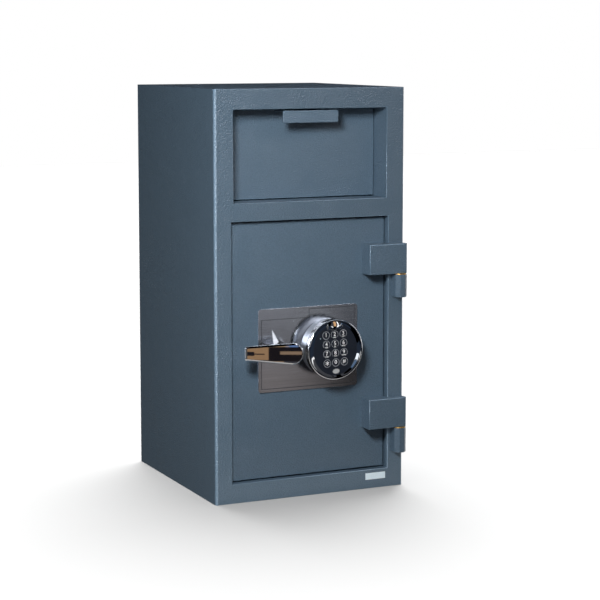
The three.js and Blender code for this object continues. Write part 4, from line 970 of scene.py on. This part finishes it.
# Upright cards in front of the lock: distance along the sight line, sideways, up, width, height, colour
SIGHT_START = Vector((-0.08, -0.21, 0))
SIGHT = Vector((0.4226, -0.9063, 0))
SIDEWAYS = Vector((0.9063, 0.4226, 0))
PLATE_SCREENS = {
    "plate_screen_left": (1.32, -0.03, 0.11, 0.14, 0.22, (0.55, 0.56, 0.6)),
    "plate_screen_middle": (1.31, 0.1, 0.11, 0.12, 0.22, (0.4, 0.41, 0.43)),
    "plate_screen_right": (1.3, 0.21, 0.11, 0.1, 0.22, (0.14, 0.15, 0.17)),
}
LEVER_SCREENS = {
    "lever_low_brown": (0.6, -0.045, 0.118, 0.1, 0.036, (0.3, 0.2, 0.13)),
    "lever_low_dark": (0.6, 0.045, 0.118, 0.08, 0.036, (0.05, 0.05, 0.06)),
    "lever_low_pale": (0.6, -0.01, 0.05, 0.19, 0.1, (0.3, 0.31, 0.34)),
    "lever_screen": (1.22, -0.03, 0.045, 0.15, 0.08, (0.012, 0.01, 0.012)),
    "lever_brown": (1.2, -0.066, 0.048, 0.06, 0.032, (0.33, 0.2, 0.11)),
    "lever_blob": (1.19, -0.078, 0.049, 0.018, 0.0105, (0.012, 0.012, 0.016)),
    "lever_tail": (1.19, -0.06, 0.0485, 0.03, 0.003, (0.03, 0.02, 0.02)),
    "lever_blue": (1.19, 0.018, 0.0695, 0.03, 0.007, (0.12, 0.2, 0.4)),
    "lever_top_line": (1.19, -0.033, 0.0675, 0.09, 0.002, (0.4, 0.27, 0.16)),
    "lever_streak": (1.2, 0.016, 0.0505, 0.05, 0.0075, (0.27, 0.18, 0.12)),
}

# Row of small screens below the sight line, darker to the right
LOW_SHADES = (0.34, 0.32, 0.29, 0.24, 0.17, 0.09, 0.05)
LOW_TINT = (1, 0.9, 0.86)
LOW_DISTANCE = 0.3
LOW_START = 0.004
LOW_UP = 0.135
LOW_WIDTH = 0.028
LOW_HEIGHT = 0.1


def add_front_card(name, pieces, distance, sideways, up, width, height, color):
    """A small card that shows only in these pieces."""
    place = SIGHT_START + SIGHT * distance + SIDEWAYS * sideways + Vector((0, 0, up))
    light_link(add_card(name, place, place - SIGHT, (width, height), color), pieces, only=True)


for name, settings in PLATE_SCREENS.items():
    add_front_card(name, [PLATE], *settings)
for index, level in enumerate(LOW_SHADES):
    add_front_card("plate_low_%d" % (index + 1), [PLATE, LEVER], LOW_DISTANCE, LOW_START + LOW_WIDTH * index,
                   LOW_UP, LOW_WIDTH, LOW_HEIGHT, tuple(level * share for share in LOW_TINT))
for name, settings in LEVER_SCREENS.items():
    add_front_card(name, [LEVER], *settings)

# Bright wedge that the lever throws on the escutcheon, as a small card close to the plate
WEDGE = [(-0.0625, -0.185, 0.2846), (-0.0474, -0.185, 0.2588), (-0.0593, -0.185, 0.2596)]
WEDGE_COLOR = (1.9, 1.95, 2.0)
wedge = add_card("plate_wedge", (0, 0, 0), (0, 0, -1), (1, 1), WEDGE_COLOR)
wedge_shape = bmesh.new()
wedge_shape.faces.new([wedge_shape.verts.new(corner) for corner in WEDGE])
wedge_shape.to_mesh(wedge.data)
wedge_shape.free()
light_link(wedge, [PLATE], only=True)

bpy.context.scene.view_settings.view_transform = "Standard"
